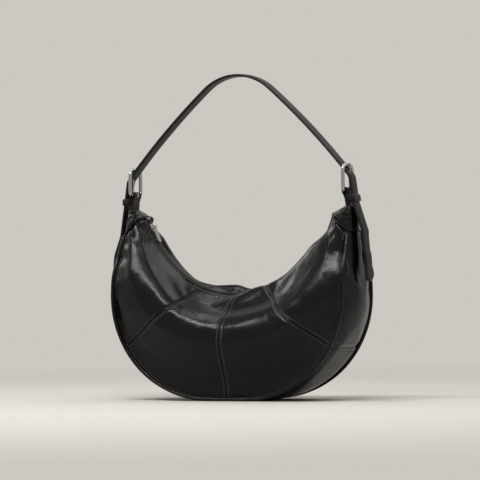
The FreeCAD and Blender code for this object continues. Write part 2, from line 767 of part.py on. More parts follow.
pull = new_body("zip_pull")
disc(pull, "XZ_Plane", "Sizes.pull_barrel_radius", "Sizes.pull_barrel_width", {})
block(pull, "XY_Plane", "Sizes.pull_length", "Sizes.pull_barrel_width", "Sizes.pull_thick",
      {"x": "Sizes.pull_length / 2"})
block(pull, "XY_Plane", "Sizes.pull_length - Sizes.lug_length", "Sizes.pull_width", "Sizes.pull_thick",
      {"x": "(Sizes.pull_length + Sizes.lug_length) / 2"})
disc(pull, "XZ_Plane", "Sizes.pin_radius + Sizes.pin_gap", "2 * Sizes.pull_width", {}, "Pocket")
round_edges(pull, "Sizes.pull_corner", lambda edge: runs_along(edge, Z_AXIS)
            and edge.CenterOfMass.x > size("pull_length") - size("pull_thick"))
pin_lift = size("tooth_height") / 2 + size("slider_gap") + size("slider_plate") + size("pin_height")
pull.Placement = turned(-size("slider_angle")).multiply(
    FreeCAD.Placement(V(0, 0, pin_lift), FreeCAD.Rotation()))


# Buckles, prongs, tabs and keepers, made once for the right and turned about Z for the left.

WIRE_RADIUS = "(Sizes.buckle_wire / 2)"
EYE_RADIUS = f"({WIRE_RADIUS} + Sizes.heel_gap)"


def at_side(side, x, height):
    """Placement beside a horn, turned about Z on the left."""
    turn = FreeCAD.Rotation(Z_AXIS, 0 if side > 0 else HALF_TURN_ANGLE)
    return FreeCAD.Placement(V(side * x, 0, height), turn)


def at_corner(edge, inset):
    """True for an edge at a corner of the buckle's rectangle, taken in by inset."""
    wide = size("buckle_wide") / 2 - inset
    tall = size("buckle_tall") / 2 - inset
    centre = edge.CenterOfMass
    return abs(abs(centre.y) - wide) < SAME_SHARE and abs(abs(centre.z) - tall) < SAME_SHARE


def buckle_frame(label):
    """Rounded ring of polished bar, standing in the YZ plane."""
    body = new_body(label)
    block(body, "YZ_Plane", "Sizes.buckle_wide", "Sizes.buckle_tall", "Sizes.buckle_wire", {})
    for name, above in (("heel", False), ("top", True)):
        round_edges(body, f"Sizes.buckle_{name}_corner", lambda edge: runs_along(edge, X_AXIS)
                    and (edge.CenterOfMass.z > 0) == above and at_corner(edge, 0.0))
    block(body, "YZ_Plane", "Sizes.buckle_wide - 2 * Sizes.buckle_wire",
          "Sizes.buckle_tall - 2 * Sizes.buckle_wire", "2 * Sizes.buckle_wire", {}, "Pocket")
    for name, above in (("heel", False), ("top", True)):
        round_edges(body, f"Sizes.buckle_{name}_corner - Sizes.buckle_wire",
                    lambda edge: runs_along(edge, X_AXIS) and (edge.CenterOfMass.z > 0) == above
                    and at_corner(edge, size("buckle_wire")))
    round_edges(body, "Sizes.buckle_round", lambda edge: abs(
        edge.BoundBox.XMax - edge.BoundBox.XMin) < SAME_SHARE)
    return body


def prong(label):
    """Pin of the buckle: an eye on the heel bar and a shank that rests on the far bar."""
    body = new_body(label)
    reach = "(Sizes.buckle_tall - Sizes.buckle_wire + Sizes.prong_over)"
    inner_face = f"({WIRE_RADIUS} + Sizes.prong_lean_gap)"
    disc(body, "XZ_Plane", f"{inner_face} + Sizes.prong_thick", "Sizes.prong_width", {})
    block(body, "XZ_Plane", "Sizes.prong_thick", reach, "Sizes.prong_width",
          {"x": f"{inner_face} + Sizes.prong_thick / 2", "y": f"{reach} / 2"})
    disc(body, "XZ_Plane", EYE_RADIUS, "2 * Sizes.prong_width", {}, "Pocket")
    tip = BAR_SPAN + size("prong_over")
    round_edges(body, "Sizes.prong_tip_round", lambda edge: abs(edge.CenterOfMass.z - tip) < SAME_SHARE)
    return body


def tab(label):
    """Folded leather tab: a loop round the heel bar and two layers down to an eye at the pivot."""
    body = new_body(label)
    drop = "(Sizes.tab_length + Sizes.tab_width / 2)"
    disc(body, "XZ_Plane", f"{EYE_RADIUS} + Sizes.tab_leather", "Sizes.tab_width", {})
    block(body, "XZ_Plane", "2 * Sizes.tab_leather", drop, "Sizes.tab_width", {"y": f"-{drop} / 2"})
    disc(body, "XZ_Plane", EYE_RADIUS, "2 * Sizes.tab_width", {}, "Pocket")
    slot = f"({EYE_RADIUS} + Sizes.tab_leather + Sizes.prong_slot_gap)"
    block(body, "XZ_Plane", f"2 * ({slot} + Sizes.overrun)", f"2 * {slot}",
          "Sizes.prong_width + 2 * Sizes.prong_slot_gap", {}, "Pocket")
    lowest = -TAB_LENGTH - size("tab_width") / 2
    round_edges(body, "Sizes.tab_tip_radius", lambda edge: runs_along(edge, X_AXIS)
                and abs(edge.CenterOfMass.z - lowest) < SAME_SHARE)
    disc(body, "YZ_Plane", "Sizes.root_pin_radius + Sizes.root_pin_gap", "2 * Sizes.tab_width",
         {"y": "-Sizes.tab_length"}, "Pocket")
    return body


KEEPER_IN = "(Sizes.tab_leather + Sizes.keeper_wall)"
KEEPER_OUT = "(Sizes.strap_keeper_lay + Sizes.strap_thick / 2 + Sizes.keeper_gap)"


def keeper(label):
    """Leather ring on the tab's outer face, round the free end of the strap."""
    body = new_body(label)
    middle = f"({KEEPER_OUT} + {KEEPER_IN}) / 2"
    thick = f"({KEEPER_OUT} - {KEEPER_IN})"
    wide = "(Sizes.strap_width + 2 * Sizes.keeper_gap)"
    block(body, "XY_Plane", f"{thick} + 2 * Sizes.keeper_wall", f"{wide} + 2 * Sizes.keeper_wall",
          "Sizes.keeper_height", {"x": middle, "z": "-Sizes.keeper_drop"})
    round_edges(body, "Sizes.keeper_round", lambda edge: runs_along(edge, Z_AXIS))
    block(body, "XY_Plane", thick, wide, "2 * Sizes.keeper_height",
          {"x": middle, "z": "-Sizes.keeper_drop"}, "Pocket")
    return body


for label, side in (("right", 1), ("left", -1)):
    at_heel = at_side(side, BUCKLE_X, HEEL_HEIGHT)
    on_tab = at_heel.multiply(FreeCAD.Placement(ORIGIN, TAB_TURN))
    buckle_frame(f"buckle_frame_{label}").Placement = at_side(side, BUCKLE_X, BUCKLE_HEIGHT)
    prong(f"buckle_prong_{label}").Placement = at_heel
    tab(f"buckle_tab_{label}").Placement = on_tab
    keeper(f"keeper_{label}").Placement = on_tab


# Strap: one length of leather over the crown, through both buckles and down outside the horns.

def rounded_path(points, radii):
    """Lines through points in the XZ plane, with an arc of the given radius at each inner point."""
    edges = []
    start = points[0]
    for index, radius in enumerate(radii, start=1):
        before = points[index].sub(points[index - 1]).normalize()
        after = points[index + 1].sub(points[index]).normalize()
        half_turn = before.getAngle(after) / 2
        tangent = radius * math.tan(half_turn)
        bend_in = points[index].sub(before * tangent)
        bend_out = points[index].add(after * tangent)
        inward = after.sub(before).normalize()
        crown = points[index].add(inward * (radius / math.cos(half_turn) - radius))
        edges.append(Part.makeLine(start, bend_in))
        edges.append(Part.Arc(bend_in, crown, bend_out).toShape())
        start = bend_out
    edges.append(Part.makeLine(start, points[-1]))
    return edges


def on_arc(centre, radius, angle):
    """Point of an arc in the XZ plane, at an angle from straight up."""
    turn = math.radians(angle)
    return centre.add(V(radius * math.sin(turn), 0, radius * math.cos(turn)))


def leg_arc(crown_centre, leg_end):
    """Centre of the leg's arc, which touches the crown's arc and ends under the buckle's far bar."""
    apart = leg_end.sub(crown_centre)
    from_crown = size("strap_leg_radius") - size("strap_crown_radius")
    from_end = size("strap_leg_radius")
    along = (apart.Length ** 2 + from_crown ** 2 - from_end ** 2) / (2 * apart.Length)
    across = math.sqrt(from_crown ** 2 - along ** 2)
    axis = V(apart).normalize()
    return crown_centre.add(axis * along).add(V(axis.z, 0, -axis.x) * across)


def strap_path():
    """Middle line of the right half of the strap, as edges and as the last point."""
    crown_radius, leg_radius = size("strap_crown_radius"), size("strap_leg_radius")
    top = V(0, 0, BUCKLE_HEIGHT + size("strap_rise") - size("strap_thick") / 2)
    crown_centre = top.sub(V(0, 0, crown_radius))
    bar = V(BUCKLE_X, 0, BUCKLE_HEIGHT + BAR_SPAN / 2)
    bar_clear = (size("buckle_wire") + size("strap_thick")) / 2 + size("strap_bar_gap")
    leg_end = on_arc(bar, -bar_clear, size("strap_bar_angle"))
    leg_centre = leg_arc(crown_centre, leg_end)
    touch = crown_centre.sub(leg_centre)
    reach = leg_end.sub(leg_centre)
    crown_angle = math.degrees(math.atan2(touch.x, touch.z))
    leg_angle = math.degrees(math.atan2(reach.x, reach.z))
    crown_end = on_arc(crown_centre, crown_radius, crown_angle)
    turn_x = BUCKLE_X + size("strap_turn_out")
    turn = V(turn_x, 0, leg_end.z - (turn_x - leg_end.x) * math.tan(math.radians(leg_angle)))
    by_tab = TAB_TURN.multVec(V(size("strap_keeper_lay"), 0, -size("strap_keeper_drop")))
    at_keeper = V(BUCKLE_X, 0, HEEL_HEIGHT).add(by_tab)
    at_cap = at_keeper.add(V(size("strap_cap_out"), 0, -size("strap_cap_drop")))
    at_gusset = at_cap.add(V(size("strap_side_out"), 0, -size("strap_side_drop")))
    tip = at_gusset.add(V(size("strap_tip_out"), 0, -size("strap_tip_drop")))
    edges = [
        Part.Arc(top, on_arc(crown_centre, crown_radius, crown_angle / 2), crown_end).toShape(),
        Part.Arc(crown_end, on_arc(leg_centre, leg_radius, (crown_angle + leg_angle) / 2), leg_end).toShape(),
    ]
    bends = [size("strap_bend_radius")] + [size("strap_lay_radius")] * len((at_keeper, at_cap, at_gusset))
    return edges + rounded_path([leg_end, turn, at_keeper, at_cap, at_gusset, tip], bends), top, tip


def strap_half():
    """Right half of the strap, from its crown to its rounded free end."""
    path, top, tip = strap_path()
    half_width, half_thick = size("strap_width") / 2, size("strap_thick") / 2
    corners = [V(0, y, top.z + z) for y, z in (
        (-half_width, -half_thick), (half_width, -half_thick),
        (half_width, half_thick), (-half_width, half_thick))]
    section = Part.makePolygon(corners + corners[:1])
    band = Part.Wire(path).makePipeShell([section], True, False)
    tip_edges = [
        edge for edge in band.Edges
        if edge.CenterOfMass.distanceToPoint(tip) < half_width + SAME_SHARE
        and abs(edge.CenterOfMass.y) > half_width - SAME_SHARE]
    return band.makeFillet(STRAP_TIP_SHARE * half_width, tip_edges)


def prong_hole():
    """Space that the prong needs where it passes through the strap on the right."""
    shank = BUCKLE_X + size("buckle_wire") / 2 + size("prong_lean_gap")
    low = shank - size("hole_gap")
    high = shank + size("prong_thick") + size("hole_gap") + size("hole_play")
    tall = BAR_SPAN - 2 * size("buckle_wire")
    return Part.makeBox(
        high - low, 2 * size("hole_half_width"), tall,
        V(low, -size("hole_half_width"), BUCKLE_HEIGHT - tall / 2))


strap_right = strap_half().cut(prong_hole())
strap = strap_right.fuse(flip_x(strap_right)).removeSplitter()
keep_shape(strap.Solids[0], "strap")


# Check every object, then write one file for each sub-part.

doc.recompute()
for obj in doc.Objects:
    if "Invalid" in obj.State or "Error" in obj.State:
        raise RuntimeError(f"{obj.Label} did not recompute")
for obj in sub_parts:
    if obj.Shape.isNull() or not obj.Shape.isValid():
        raise RuntimeError(f"{obj.Label} has no valid solid")
os.makedirs("parts", exist_ok=True)
for obj in sub_parts:
    obj.Shape.exportStep(os.path.join("parts", f"{obj.Label}.step"))
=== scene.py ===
"""Looks of the half moon bag: leather, piping, zip, strap, buckles, stitching and the studio."""
import functools
import math

import bmesh
import bpy
from mathutils import Matrix, Vector, noise


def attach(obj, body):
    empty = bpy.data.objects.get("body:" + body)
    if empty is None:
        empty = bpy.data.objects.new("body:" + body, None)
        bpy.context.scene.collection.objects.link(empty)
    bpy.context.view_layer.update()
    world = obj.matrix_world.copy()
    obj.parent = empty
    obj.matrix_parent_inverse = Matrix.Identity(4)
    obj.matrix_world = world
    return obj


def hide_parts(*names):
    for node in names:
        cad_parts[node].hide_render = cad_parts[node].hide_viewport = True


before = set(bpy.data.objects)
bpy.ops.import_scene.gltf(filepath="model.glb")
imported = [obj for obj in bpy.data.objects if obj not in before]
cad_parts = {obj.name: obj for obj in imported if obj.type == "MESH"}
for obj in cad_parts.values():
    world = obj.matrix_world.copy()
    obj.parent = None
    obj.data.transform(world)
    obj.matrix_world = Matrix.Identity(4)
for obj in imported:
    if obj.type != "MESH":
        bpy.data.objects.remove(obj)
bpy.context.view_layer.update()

bl_info = {
    "name": "Half moon bag",
    "version": (1, 0, 0),
    "blender": (4, 5, 0),
    "location": "View3D > Sidebar > Bag",
    "description": "Dresses the half moon bag in leather, thread, zip and polished hardware",
    "category": "Object",
}

MM = 0.001

# The crescent's sections, from the middle to the horn cap: degrees and millimetres.
STATIONS = (0.0, 35.0, 52.0, 61.5, 69.4)
ZIP_ANGLES = (0.0, 21.0, 45.0, 60.0, 75.0)
PIPING_DEPTHS = (46.0, 47.0, 45.0, 31.0, 19.0)
SHOULDER_DEPTHS = (77.0, 74.0, 60.0, 41.0, 25.0)
SHOULDER_DROPS = (36.0, 34.0, 22.0, 13.0, 9.0)
RIGHT_DROPS = (36.0, 40.0, 38.0, 27.0, 14.0)
SHOULDER_RADII = (30.0, 31.0, 26.0, 16.0, 9.0)
RIGHT_RADII = (30.0, 38.0, 42.0, 30.0, 12.0)
SWELLS = (3.0, 6.0, 10.0, 9.5, 7.0)
SEAM_ANGLE = STATIONS[1]
CAP_ANGLE = STATIONS[-1]
GORES = {"middle": (0.0, SEAM_ANGLE), "end": (SEAM_ANGLE, CAP_ANGLE)}
FRONT, BACK = -1, 1
FACES = ((FRONT, "front"), (BACK, "back"))
HANDS = ((1, "right"), (-1, "left"))
# An angle beside zero, for the middle of the bag.
TINY = 1e-6


class BagShape(bpy.types.PropertyGroup):
    """Sizes of the bag's body."""

    zip_radius: bpy.props.FloatProperty(
        name="Zip radius", description="Radius of the zip's arc", default=141 * MM, unit="LENGTH")
    zip_bottom: bpy.props.FloatProperty(
        name="Zip height", description="Lowest point of the zip above the floor", default=138 * MM,
        unit="LENGTH")
    base_flat: bpy.props.FloatProperty(
        name="Base flat", description="Straight run of the piping under the bag", default=56 * MM,
        unit="LENGTH")
    corner_radius: bpy.props.FloatProperty(
        name="Corner radius", description="Radius of the piping round the lower corners",
        default=136 * MM, unit="LENGTH")
    side_radius: bpy.props.FloatProperty(
        name="Side radius", description="Radius of the piping up the sides", default=860 * MM,
        unit="LENGTH")
    piping_radius: bpy.props.FloatProperty(
        name="Piping radius", description="Radius of the covered cord", default=2.2 * MM, unit="LENGTH")
    piping_base: bpy.props.FloatProperty(
        name="Piping height", description="Middle of the piping above the floor", default=2.4 * MM,
        unit="LENGTH")
    panel_edge: bpy.props.FloatProperty(
        name="Panel edge", description="Distance of the leather's edge from the zip's middle",
        default=7.0 * MM, unit="LENGTH")
    leather: bpy.props.FloatProperty(
        name="Leather", description="Thickness of the leather", default=1.6 * MM, unit="LENGTH")
    fullness: bpy.props.FloatProperty(
        name="Fullness", description="How far each gore stands proud of its seams", default=2.0 * MM,
        unit="LENGTH")
    seam_depth: bpy.props.FloatProperty(
        name="Seam depth", description="Depth of the groove at a seam", default=1.1 * MM, unit="LENGTH")
    lean: bpy.props.FloatProperty(
        name="Lean", description="How far the horns lean to the right", default=1.5 * MM, unit="LENGTH")
    back_rise: bpy.props.FloatProperty(
        name="Back rise", description="How far the back stands above the zip", default=14.0 * MM,
        unit="LENGTH")
    front_rise: bpy.props.FloatProperty(
        name="Front rise", description="How far the front's right half stands above the zip",
        default=14.5 * MM, unit="LENGTH")


class BagTrim(bpy.types.PropertyGroup):
    """Sizes of stitching, strap and zip."""

    stitch_length: bpy.props.FloatProperty(
        name="Stitch", description="Length of one stitch", default=3.0 * MM, unit="LENGTH")
    stitch_gap: bpy.props.FloatProperty(
        name="Stitch gap", description="Gap between two stitches", default=1.0 * MM, unit="LENGTH")
    stitch_width: bpy.props.FloatProperty(
        name="Thread", description="Thickness of the thread", default=0.9 * MM, unit="LENGTH")
    stitch_offset: bpy.props.FloatProperty(
        name="Stitch offset", description="Distance of a stitch row from its seam", default=3.1 * MM,
        unit="LENGTH")
    piping_stitch: bpy.props.FloatProperty(
        name="Piping stitch", description="Distance of the topstitching from the piping's edge",
        default=3.6 * MM, unit="LENGTH")
    strap_width: bpy.props.FloatProperty(
        name="Strap width", description="Width of the strap", default=20 * MM, unit="LENGTH")
    strap_thick: bpy.props.FloatProperty(
        name="Strap thickness", description="Thickness of the strap", default=3.2 * MM, unit="LENGTH")
    strap_stand: bpy.props.FloatProperty(
        name="Strap stand-off", description="How far the right free end stands off the horn",
        default=5.7 * MM, unit="LENGTH")
    tooth_pitch: bpy.props.FloatProperty(
        name="Tooth pitch", description="Distance between teeth of one row", default=2.6 * MM,
        unit="LENGTH")


class BagColours(bpy.types.PropertyGroup):
    """Colours of the bag and the studio."""

    leather: bpy.props.FloatVectorProperty(
        name="Leather", description="Colour of the glazed leather", subtype="COLOR", size=3,
        default=(0.0016, 0.0015, 0.0014))
    strap: bpy.props.FloatVectorProperty(
        name="Strap", description="Colour of the strap leather", subtype="COLOR", size=3,
        default=(0.006, 0.006, 0.006))
    # Darker than bare polished nickel: painted shade standing in for the dark surroundings the metal
    # reflects.
    metal: bpy.props.FloatVectorProperty(
        name="Metal", description="Colour of the polished metal", subtype="COLOR", size=3,
        default=(0.40, 0.40, 0.39))
    thread: bpy.props.FloatVectorProperty(
        name="Thread", description="Colour of the thread", subtype="COLOR", size=3,
        default=(0.050, 0.050, 0.048))
    tape: bpy.props.FloatVectorProperty(
        name="Zip tape", description="Colour of the zip tape", subtype="COLOR", size=3,
        default=(0.010, 0.010, 0.011))
    lining: bpy.props.FloatVectorProperty(
        name="Lining", description="Colour of the lining cloth", subtype="COLOR", size=3,
        default=(0.020, 0.020, 0.022))
    studio: bpy.props.FloatVectorProperty(
        name="Studio", description="Colour of the floor and background", subtype="COLOR", size=3,
        default=(0.60, 0.58, 0.54))


def shape():
    """Sizes of the bag's body."""
    return bpy.context.scene.bag_shape


def trim():
    """Sizes of the trim."""
    return bpy.context.scene.bag_trim


def colours():
    """Colours of the bag and the studio."""
    return bpy.context.scene.bag_colours


# Crescent: the zip's arc, the piping's line and the sections between them.

@functools.lru_cache(maxsize=None)
def smooth(values, at, turns=False):
    """Value at a piping angle, on a curve through the named sections that never swings past them.

    A value that turns over at the middle, as an angle does, runs straight through it.
    """
    spans = [b - a for a, b in zip(STATIONS, STATIONS[1:])]
    rises = [(b - a) / span for a, b, span in zip(values, values[1:], spans)]
    slopes = [rises[0] if turns else 0.0]
    for before, after in zip(rises, rises[1:]):
        slopes.append(2 * before * after / (before + after) if before * after > 0 else 0.0)
    slopes.append(rises[-1])
    index = 0
    while index < len(spans) - 1 and at > STATIONS[index + 1]:
        index += 1
    span = spans[index]
    share = (at - STATIONS[index]) / span
    rest = 1 - share
    return (
        values[index] * rest * rest * (1 + 2 * share)
        + values[index + 1] * share * share * (1 + 2 * rest)
        + span * slopes[index] * share * rest * rest
        - span * slopes[index + 1] * share * share * rest
    )


def zip_centre():
    """Height of the centre of the zip's arc."""
    return shape().zip_bottom + shape().zip_radius


def on_zip(angle, radius_offset=0.0):
    """Point of the zip's arc as (x, z), at an angle from straight down."""
    turn = math.radians(angle)
    radius = shape().zip_radius + radius_offset
    return radius * math.sin(turn), zip_centre() - radius * math.cos(turn)


def ray_to_circle(angle, centre_x, centre_z, radius):
    """Where a ray from the zip's centre leaves a circle, as (x, z)."""
    turn = math.radians(angle)
    dx, dz = math.sin(turn), -math.cos(turn)
    to_x, to_z = centre_x, centre_z - zip_centre()
    along = dx * to_x + dz * to_z
    across = to_x * to_x + to_z * to_z - along * along
    reach = along + math.sqrt(radius * radius - across)
    return reach * dx, zip_centre() + reach * dz


@functools.lru_cache(maxsize=None)
def on_piping(angle):
    """Point of the piping's line and its outward normal as (x, z, nx, nz), on the right."""
    s = shape()
    corner_x = s.base_flat / 2
    corner_z = s.piping_base + s.corner_radius
    flat_x = (zip_centre() - s.piping_base) * math.tan(math.radians(angle))
    if flat_x <= corner_x:
        return flat_x, s.piping_base, 0.0, -1.0
    x, z = ray_to_circle(angle, corner_x, corner_z, s.corner_radius)
    if z <= corner_z:
        return x, z, (x - corner_x) / s.corner_radius, (z - corner_z) / s.corner_radius
    side_x = corner_x + s.corner_radius - s.side_radius
    x, z = ray_to_circle(angle, side_x, corner_z, s.side_radius)
    return x, z, (x - side_x) / s.side_radius, (z - corner_z) / s.side_radius


def unit(dx, dy):
    """Unit vector in a section's plane."""
    length = math.hypot(dx, dy)
    return dx / length, dy / length


def ease(share):
    """Smooth step from zero to one."""
    share = min(max(share, 0.0), 1.0)
    return share * share * (3 - 2 * share)


# Lean of the horns: where it starts, where it is full, and how far from the zip.
LEAN_FOOT, LEAN_HEIGHT, LEAN_INSET = 165 * MM, 85 * MM, 18 * MM


def lean(point):
    """The filled bag's horns lean a little to one side; the zip stays on its arc."""
    rise = ease((point.z - LEAN_FOOT) / LEAN_HEIGHT)
    out = math.hypot(point.x, point.z - zip_centre()) - shape().zip_radius
    return point + Vector((shape().lean * rise * ease(out / LEAN_INSET), 0, 0))


class Section:
    """One section of a panel: a flat from the zip, a rounded shoulder and a flat to the piping."""

    def __init__(self, angle):
        self.mirror = -1 if angle < 0 else 1
        a = abs(angle)
        self.zip = on_zip(smooth(ZIP_ANGLES, a, True))
        out = on_piping(a)
        self.along = unit(out[0] - self.zip[0], out[1] - self.zip[1])
        length = math.hypot(out[0] - self.zip[0], out[1] - self.zip[1])
        self.first = (0.0, shape().panel_edge)
        drops, radii = (RIGHT_DROPS, RIGHT_RADII) if self.mirror > 0 else (SHOULDER_DROPS, SHOULDER_RADII)
        knee = (smooth(drops, a) * MM, smooth(SHOULDER_DEPTHS, a) * MM)
        last = (length, smooth(PIPING_DEPTHS, a) * MM)
        self.radius = smooth(radii, a) * MM
        self.d1 = unit(knee[0] - self.first[0], knee[1] - self.first[1])
        self.d2 = unit(last[0] - knee[0], last[1] - knee[1])
        last = tuple(last[i] - self.d2[i] * 0.3 * shape().piping_radius for i in (0, 1))
        half_turn = math.acos(self.d1[0] * self.d2[0] + self.d1[1] * self.d2[1]) / 2
        tangent = self.radius * math.tan(half_turn)
        self.bend_in = (knee[0] - self.d1[0] * tangent, knee[1] - self.d1[1] * tangent)
        self.bend_out = (knee[0] + self.d2[0] * tangent, knee[1] + self.d2[1] * tangent)
        self.runs = (
            math.dist(self.first, self.bend_in),
            2 * half_turn * self.radius,
            math.dist(self.bend_out, last),
        )

    def at(self, share):
        """Point and outward normal in the section's plane, at a share of its length."""
        run = share * sum(self.runs)
        n1 = (self.d1[1], -self.d1[0])
        n2 = (self.d2[1], -self.d2[0])
        if run < self.runs[0]:
            point = (self.first[0] + self.d1[0] * run, self.first[1] + self.d1[1] * run)
            return point, (-n1[0], -n1[1])
        run -= self.runs[0]
        if run < self.runs[1]:
            turn = run / self.radius
            normal = tuple(-n1[i] * math.cos(turn) + self.d1[i] * math.sin(turn) for i in (0, 1))
            point = tuple(
                self.bend_in[i] + n1[i] * self.radius + normal[i] * self.radius for i in (0, 1))
            return point, normal
        run -= self.runs[1]
        point = (self.bend_out[0] + self.d2[0] * run, self.bend_out[1] + self.d2[1] * run)
        return point, (-n2[0], -n2[1])

    def place(self, point, side):
        """From the section's plane to the bag's frame."""
        return Vector((
            self.mirror * (self.zip[0] + self.along[0] * point[0]),
            side * point[1],
            self.zip[1] + self.along[1] * point[0],
        ))


@functools.lru_cache(maxsize=None)
def section_at(angle):
    """Section at a piping angle, kept because every row of a panel asks for it."""
    return Section(angle)


def bump(x, width):
    """Smooth hump of height one about zero."""
    return math.exp(-(x / width) ** 2)


# Soft folds of the front, drawn in the XZ plane: start, end, width and depth in millimetres.
FOLDS = (
    ((-150, 226), (-138, 205), 4.0, -1.0),
    ((-141, 232), (-128, 208), 3.5, 0.6),
    ((-158, 205), (-140, 190), 5.0, 0.6),
    ((143, 226), (128, 196), 4.0, -0.7),
    ((150, 220), (141, 175), 4.5, 0.5),
    ((156, 205), (150, 160), 4.0, -0.6),
    ((-100, 150), (-60, 108), 9.0, 1.2),
    ((60, 130), (118, 120), 10.0, 1.0),
    ((-30, 120), (-36, 70), 10.0, -0.8),
    ((35, 118), (20, 60), 11.0, 0.9),
)


def fold_depth(x, z):
    """Sum of the folds at a point of the XZ plane, in metres."""
    total = 0.0
    for (x0, z0), (x1, z1), width, depth in FOLDS:
        dx, dz = (x1 - x0) * MM, (z1 - z0) * MM
        px, pz = x - x0 * MM, z - z0 * MM
        along = (px * dx + pz * dz) / (dx * dx + dz * dz)
        off = math.hypot(px - dx * along, pz - dz * along)
        total += depth * MM * bump(off, width * MM) * bump(along - 0.5, 0.45)
    return total


# Ridge of leather beside the zip: its distance from the zip's middle, its width, its foot and,
# in degrees, where it ends.
RIDGE_DEPTH, RIDGE_WIDTH, RIDGE_FOOT = 19 * MM, 15 * MM, 9 * MM
RIDGE_END = 69


def edge_rise(angle, along_zip, side):
    """How far the leather beside the zip stands above it, at a place along the zip in millimetres."""
    if side == BACK:
        middle, left = bump(along_zip + 20, 48), bump(along_zip + 118, 26)
        rise = shape().back_rise * (0.15 + 1.1 * middle + 0.34 * left)
    else:
        rise = shape().front_rise * ease((along_zip + 30) / 75)
    fade = 7 if side == BACK and angle < 0 else 12
    return rise * ease((RIDGE_END - abs(angle)) / fade)


def panel_point(angle, share, side, lift=0.0, seam_distance=None, gore_share=0.5):
    """Point of a leather panel at a piping angle and a share of the way from zip to piping."""
    s = shape()
    section = section_at(angle)
    point, normal = section.at(share)
    swell = s.fullness * (4 * gore_share * (1 - gore_share)) ** 0.6 * math.sin(math.pi * share) ** 0.8
    offset = lift + swell
    if seam_distance is not None:
        offset -= 0.35 * s.seam_depth * bump(seam_distance, 0.7 * MM)
        offset -= s.seam_depth * bump(seam_distance - trim().stitch_offset, 1.0 * MM)
    to_piping = (1 - share) * sum(section.runs)
    offset -= 0.7 * s.seam_depth * bump(to_piping - trim().piping_stitch, 1.0 * MM)
    place = section.place(point, side)
    offset += 0.7 * MM * noise.noise(place * 28) * math.sin(math.pi * share)
    if side == FRONT:
        offset += fold_depth(place.x, place.z)
    ridge = bump(point[1] - RIDGE_DEPTH, RIDGE_WIDTH) * ease((point[1] - s.panel_edge) / RIDGE_FOOT)
    drop = -edge_rise(angle, section.mirror * section.zip[0] / MM, side) * ridge
    moved = (point[0] + normal[0] * offset + drop, point[1] + normal[1] * offset)
    return lean(section.place(moved, side)) + slouch(angle, share, side)


# Settling: how far the leather has moved, on a grid over front, back and gusset.

SLOUCH = {}
SLOUCH_COLUMNS, SLOUCH_ROWS = 110, 40
PANEL_SLACK, PANEL_MOVE = 0.03, 5.5 * MM
GUSSET_SLACK, GUSSET_MOVE = 0.012, 2.4 * MM
SETTLE_FRAMES = 30
EVENING_PASSES = 3


def spline_shares(part):
    """Weights of four neighbours in a row, for a curve without corners."""
    return (
        (1 - part) ** 3 / 6,
        (3 * part ** 3 - 6 * part ** 2 + 4) / 6,
        (-3 * part ** 3 + 3 * part ** 2 + 3 * part + 1) / 6,
        part ** 3 / 6,
    )


def slouch(angle, share, side):
    """Move of the settled leather at a piping angle and a share from zip to piping."""
    if side not in SLOUCH:
        return Vector((0, 0, 0))
    moves = SLOUCH[side]
    x = min(max((angle / CAP_ANGLE + 1) / 2, 0.0), 1.0) * SLOUCH_COLUMNS
    y = min(max(share, 0.0), 1.0) * SLOUCH_ROWS
    column, row = min(int(x), SLOUCH_COLUMNS - 1), min(int(y), SLOUCH_ROWS - 1)
    total = Vector((0, 0, 0))
    for i, wide in enumerate(spline_shares(x - column)):
        for j, tall in enumerate(spline_shares(y - row)):
            at = (min(max(column + i - 1, 0), SLOUCH_COLUMNS), min(max(row + j - 1, 0), SLOUCH_ROWS))
            total += moves[at] * (wide * tall)
    return total


# Gusset: gap from the pipings and the floor, run of a degree, and the pinch at its cross seams.
GUSSET_GAP, FLOOR_GAP, DEGREE_RUN = 0.2 * MM, 0.3 * MM, 2.6 * MM
PINCH_DEPTH, PINCH_WIDTH = 0.9 * MM, 1.2 * MM


def gusset_point(angle, across, lift=0.0):
    """Point of the gusset at a piping angle and a share across it."""
    a = max(abs(angle), TINY)
    x, z, nx, nz = on_piping(a)
    half = smooth(PIPING_DEPTHS, a) * MM - GUSSET_GAP
    y = (2 * across - 1) * half
    swell = smooth(SWELLS, a) * MM
    out = swell * (1 - (2 * across - 1) ** 2)
    low = (shape().piping_base - GUSSET_GAP) / max(-nz, 0.2) if nz < 0 else 1.0
    out = min(out, low) + lift
    side = -1 if angle < 0 else 1
    point = lean(Vector((side * (x + nx * out), y, z + nz * out))) + slouch(angle, across, "gusset")
    return Vector((point.x, point.y, max(point.z, FLOOR_GAP)))


# Mesh helpers.

def finish_piece(name, mesh, body, material, replaces=(), smooth_faces=True):
    """Turn a bmesh into a piece that rides on a body and stands for its solids."""
    data = bpy.data.meshes.new(name)
    mesh.to_mesh(data)
    mesh.free()
    if smooth_faces:
        data.shade_smooth()
    piece = bpy.data.objects.new(name, data)
    bpy.context.scene.collection.objects.link(piece)
    data.materials.append(material)
    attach(piece, body)
    if replaces:
        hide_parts(*replaces)
    return piece


def grid_sheet(columns, rows, place, outward=None, closed=False):
    """Grid whose every corner is put at place(across, up), both from zero to one."""
    mesh = bmesh.new()
    mesh.loops.layers.uv.new("UVMap")
    bmesh.ops.create_grid(mesh, x_segments=columns, y_segments=rows, size=0.5, calc_uvs=True)
    for vert in mesh.verts:
        vert.co = place(vert.co.x + 0.5, vert.co.y + 0.5)
    if closed:
        bmesh.ops.remove_doubles(mesh, verts=mesh.verts, dist=1e-6)
        bmesh.ops.recalc_face_normals(mesh, faces=mesh.faces)
    if outward is not None:
        mesh.normal_update()
        if sum(outward(face.calc_center_median()).dot(face.normal) for face in mesh.faces) < 0:
            bmesh.ops.reverse_faces(mesh, faces=mesh.faces)
    return mesh


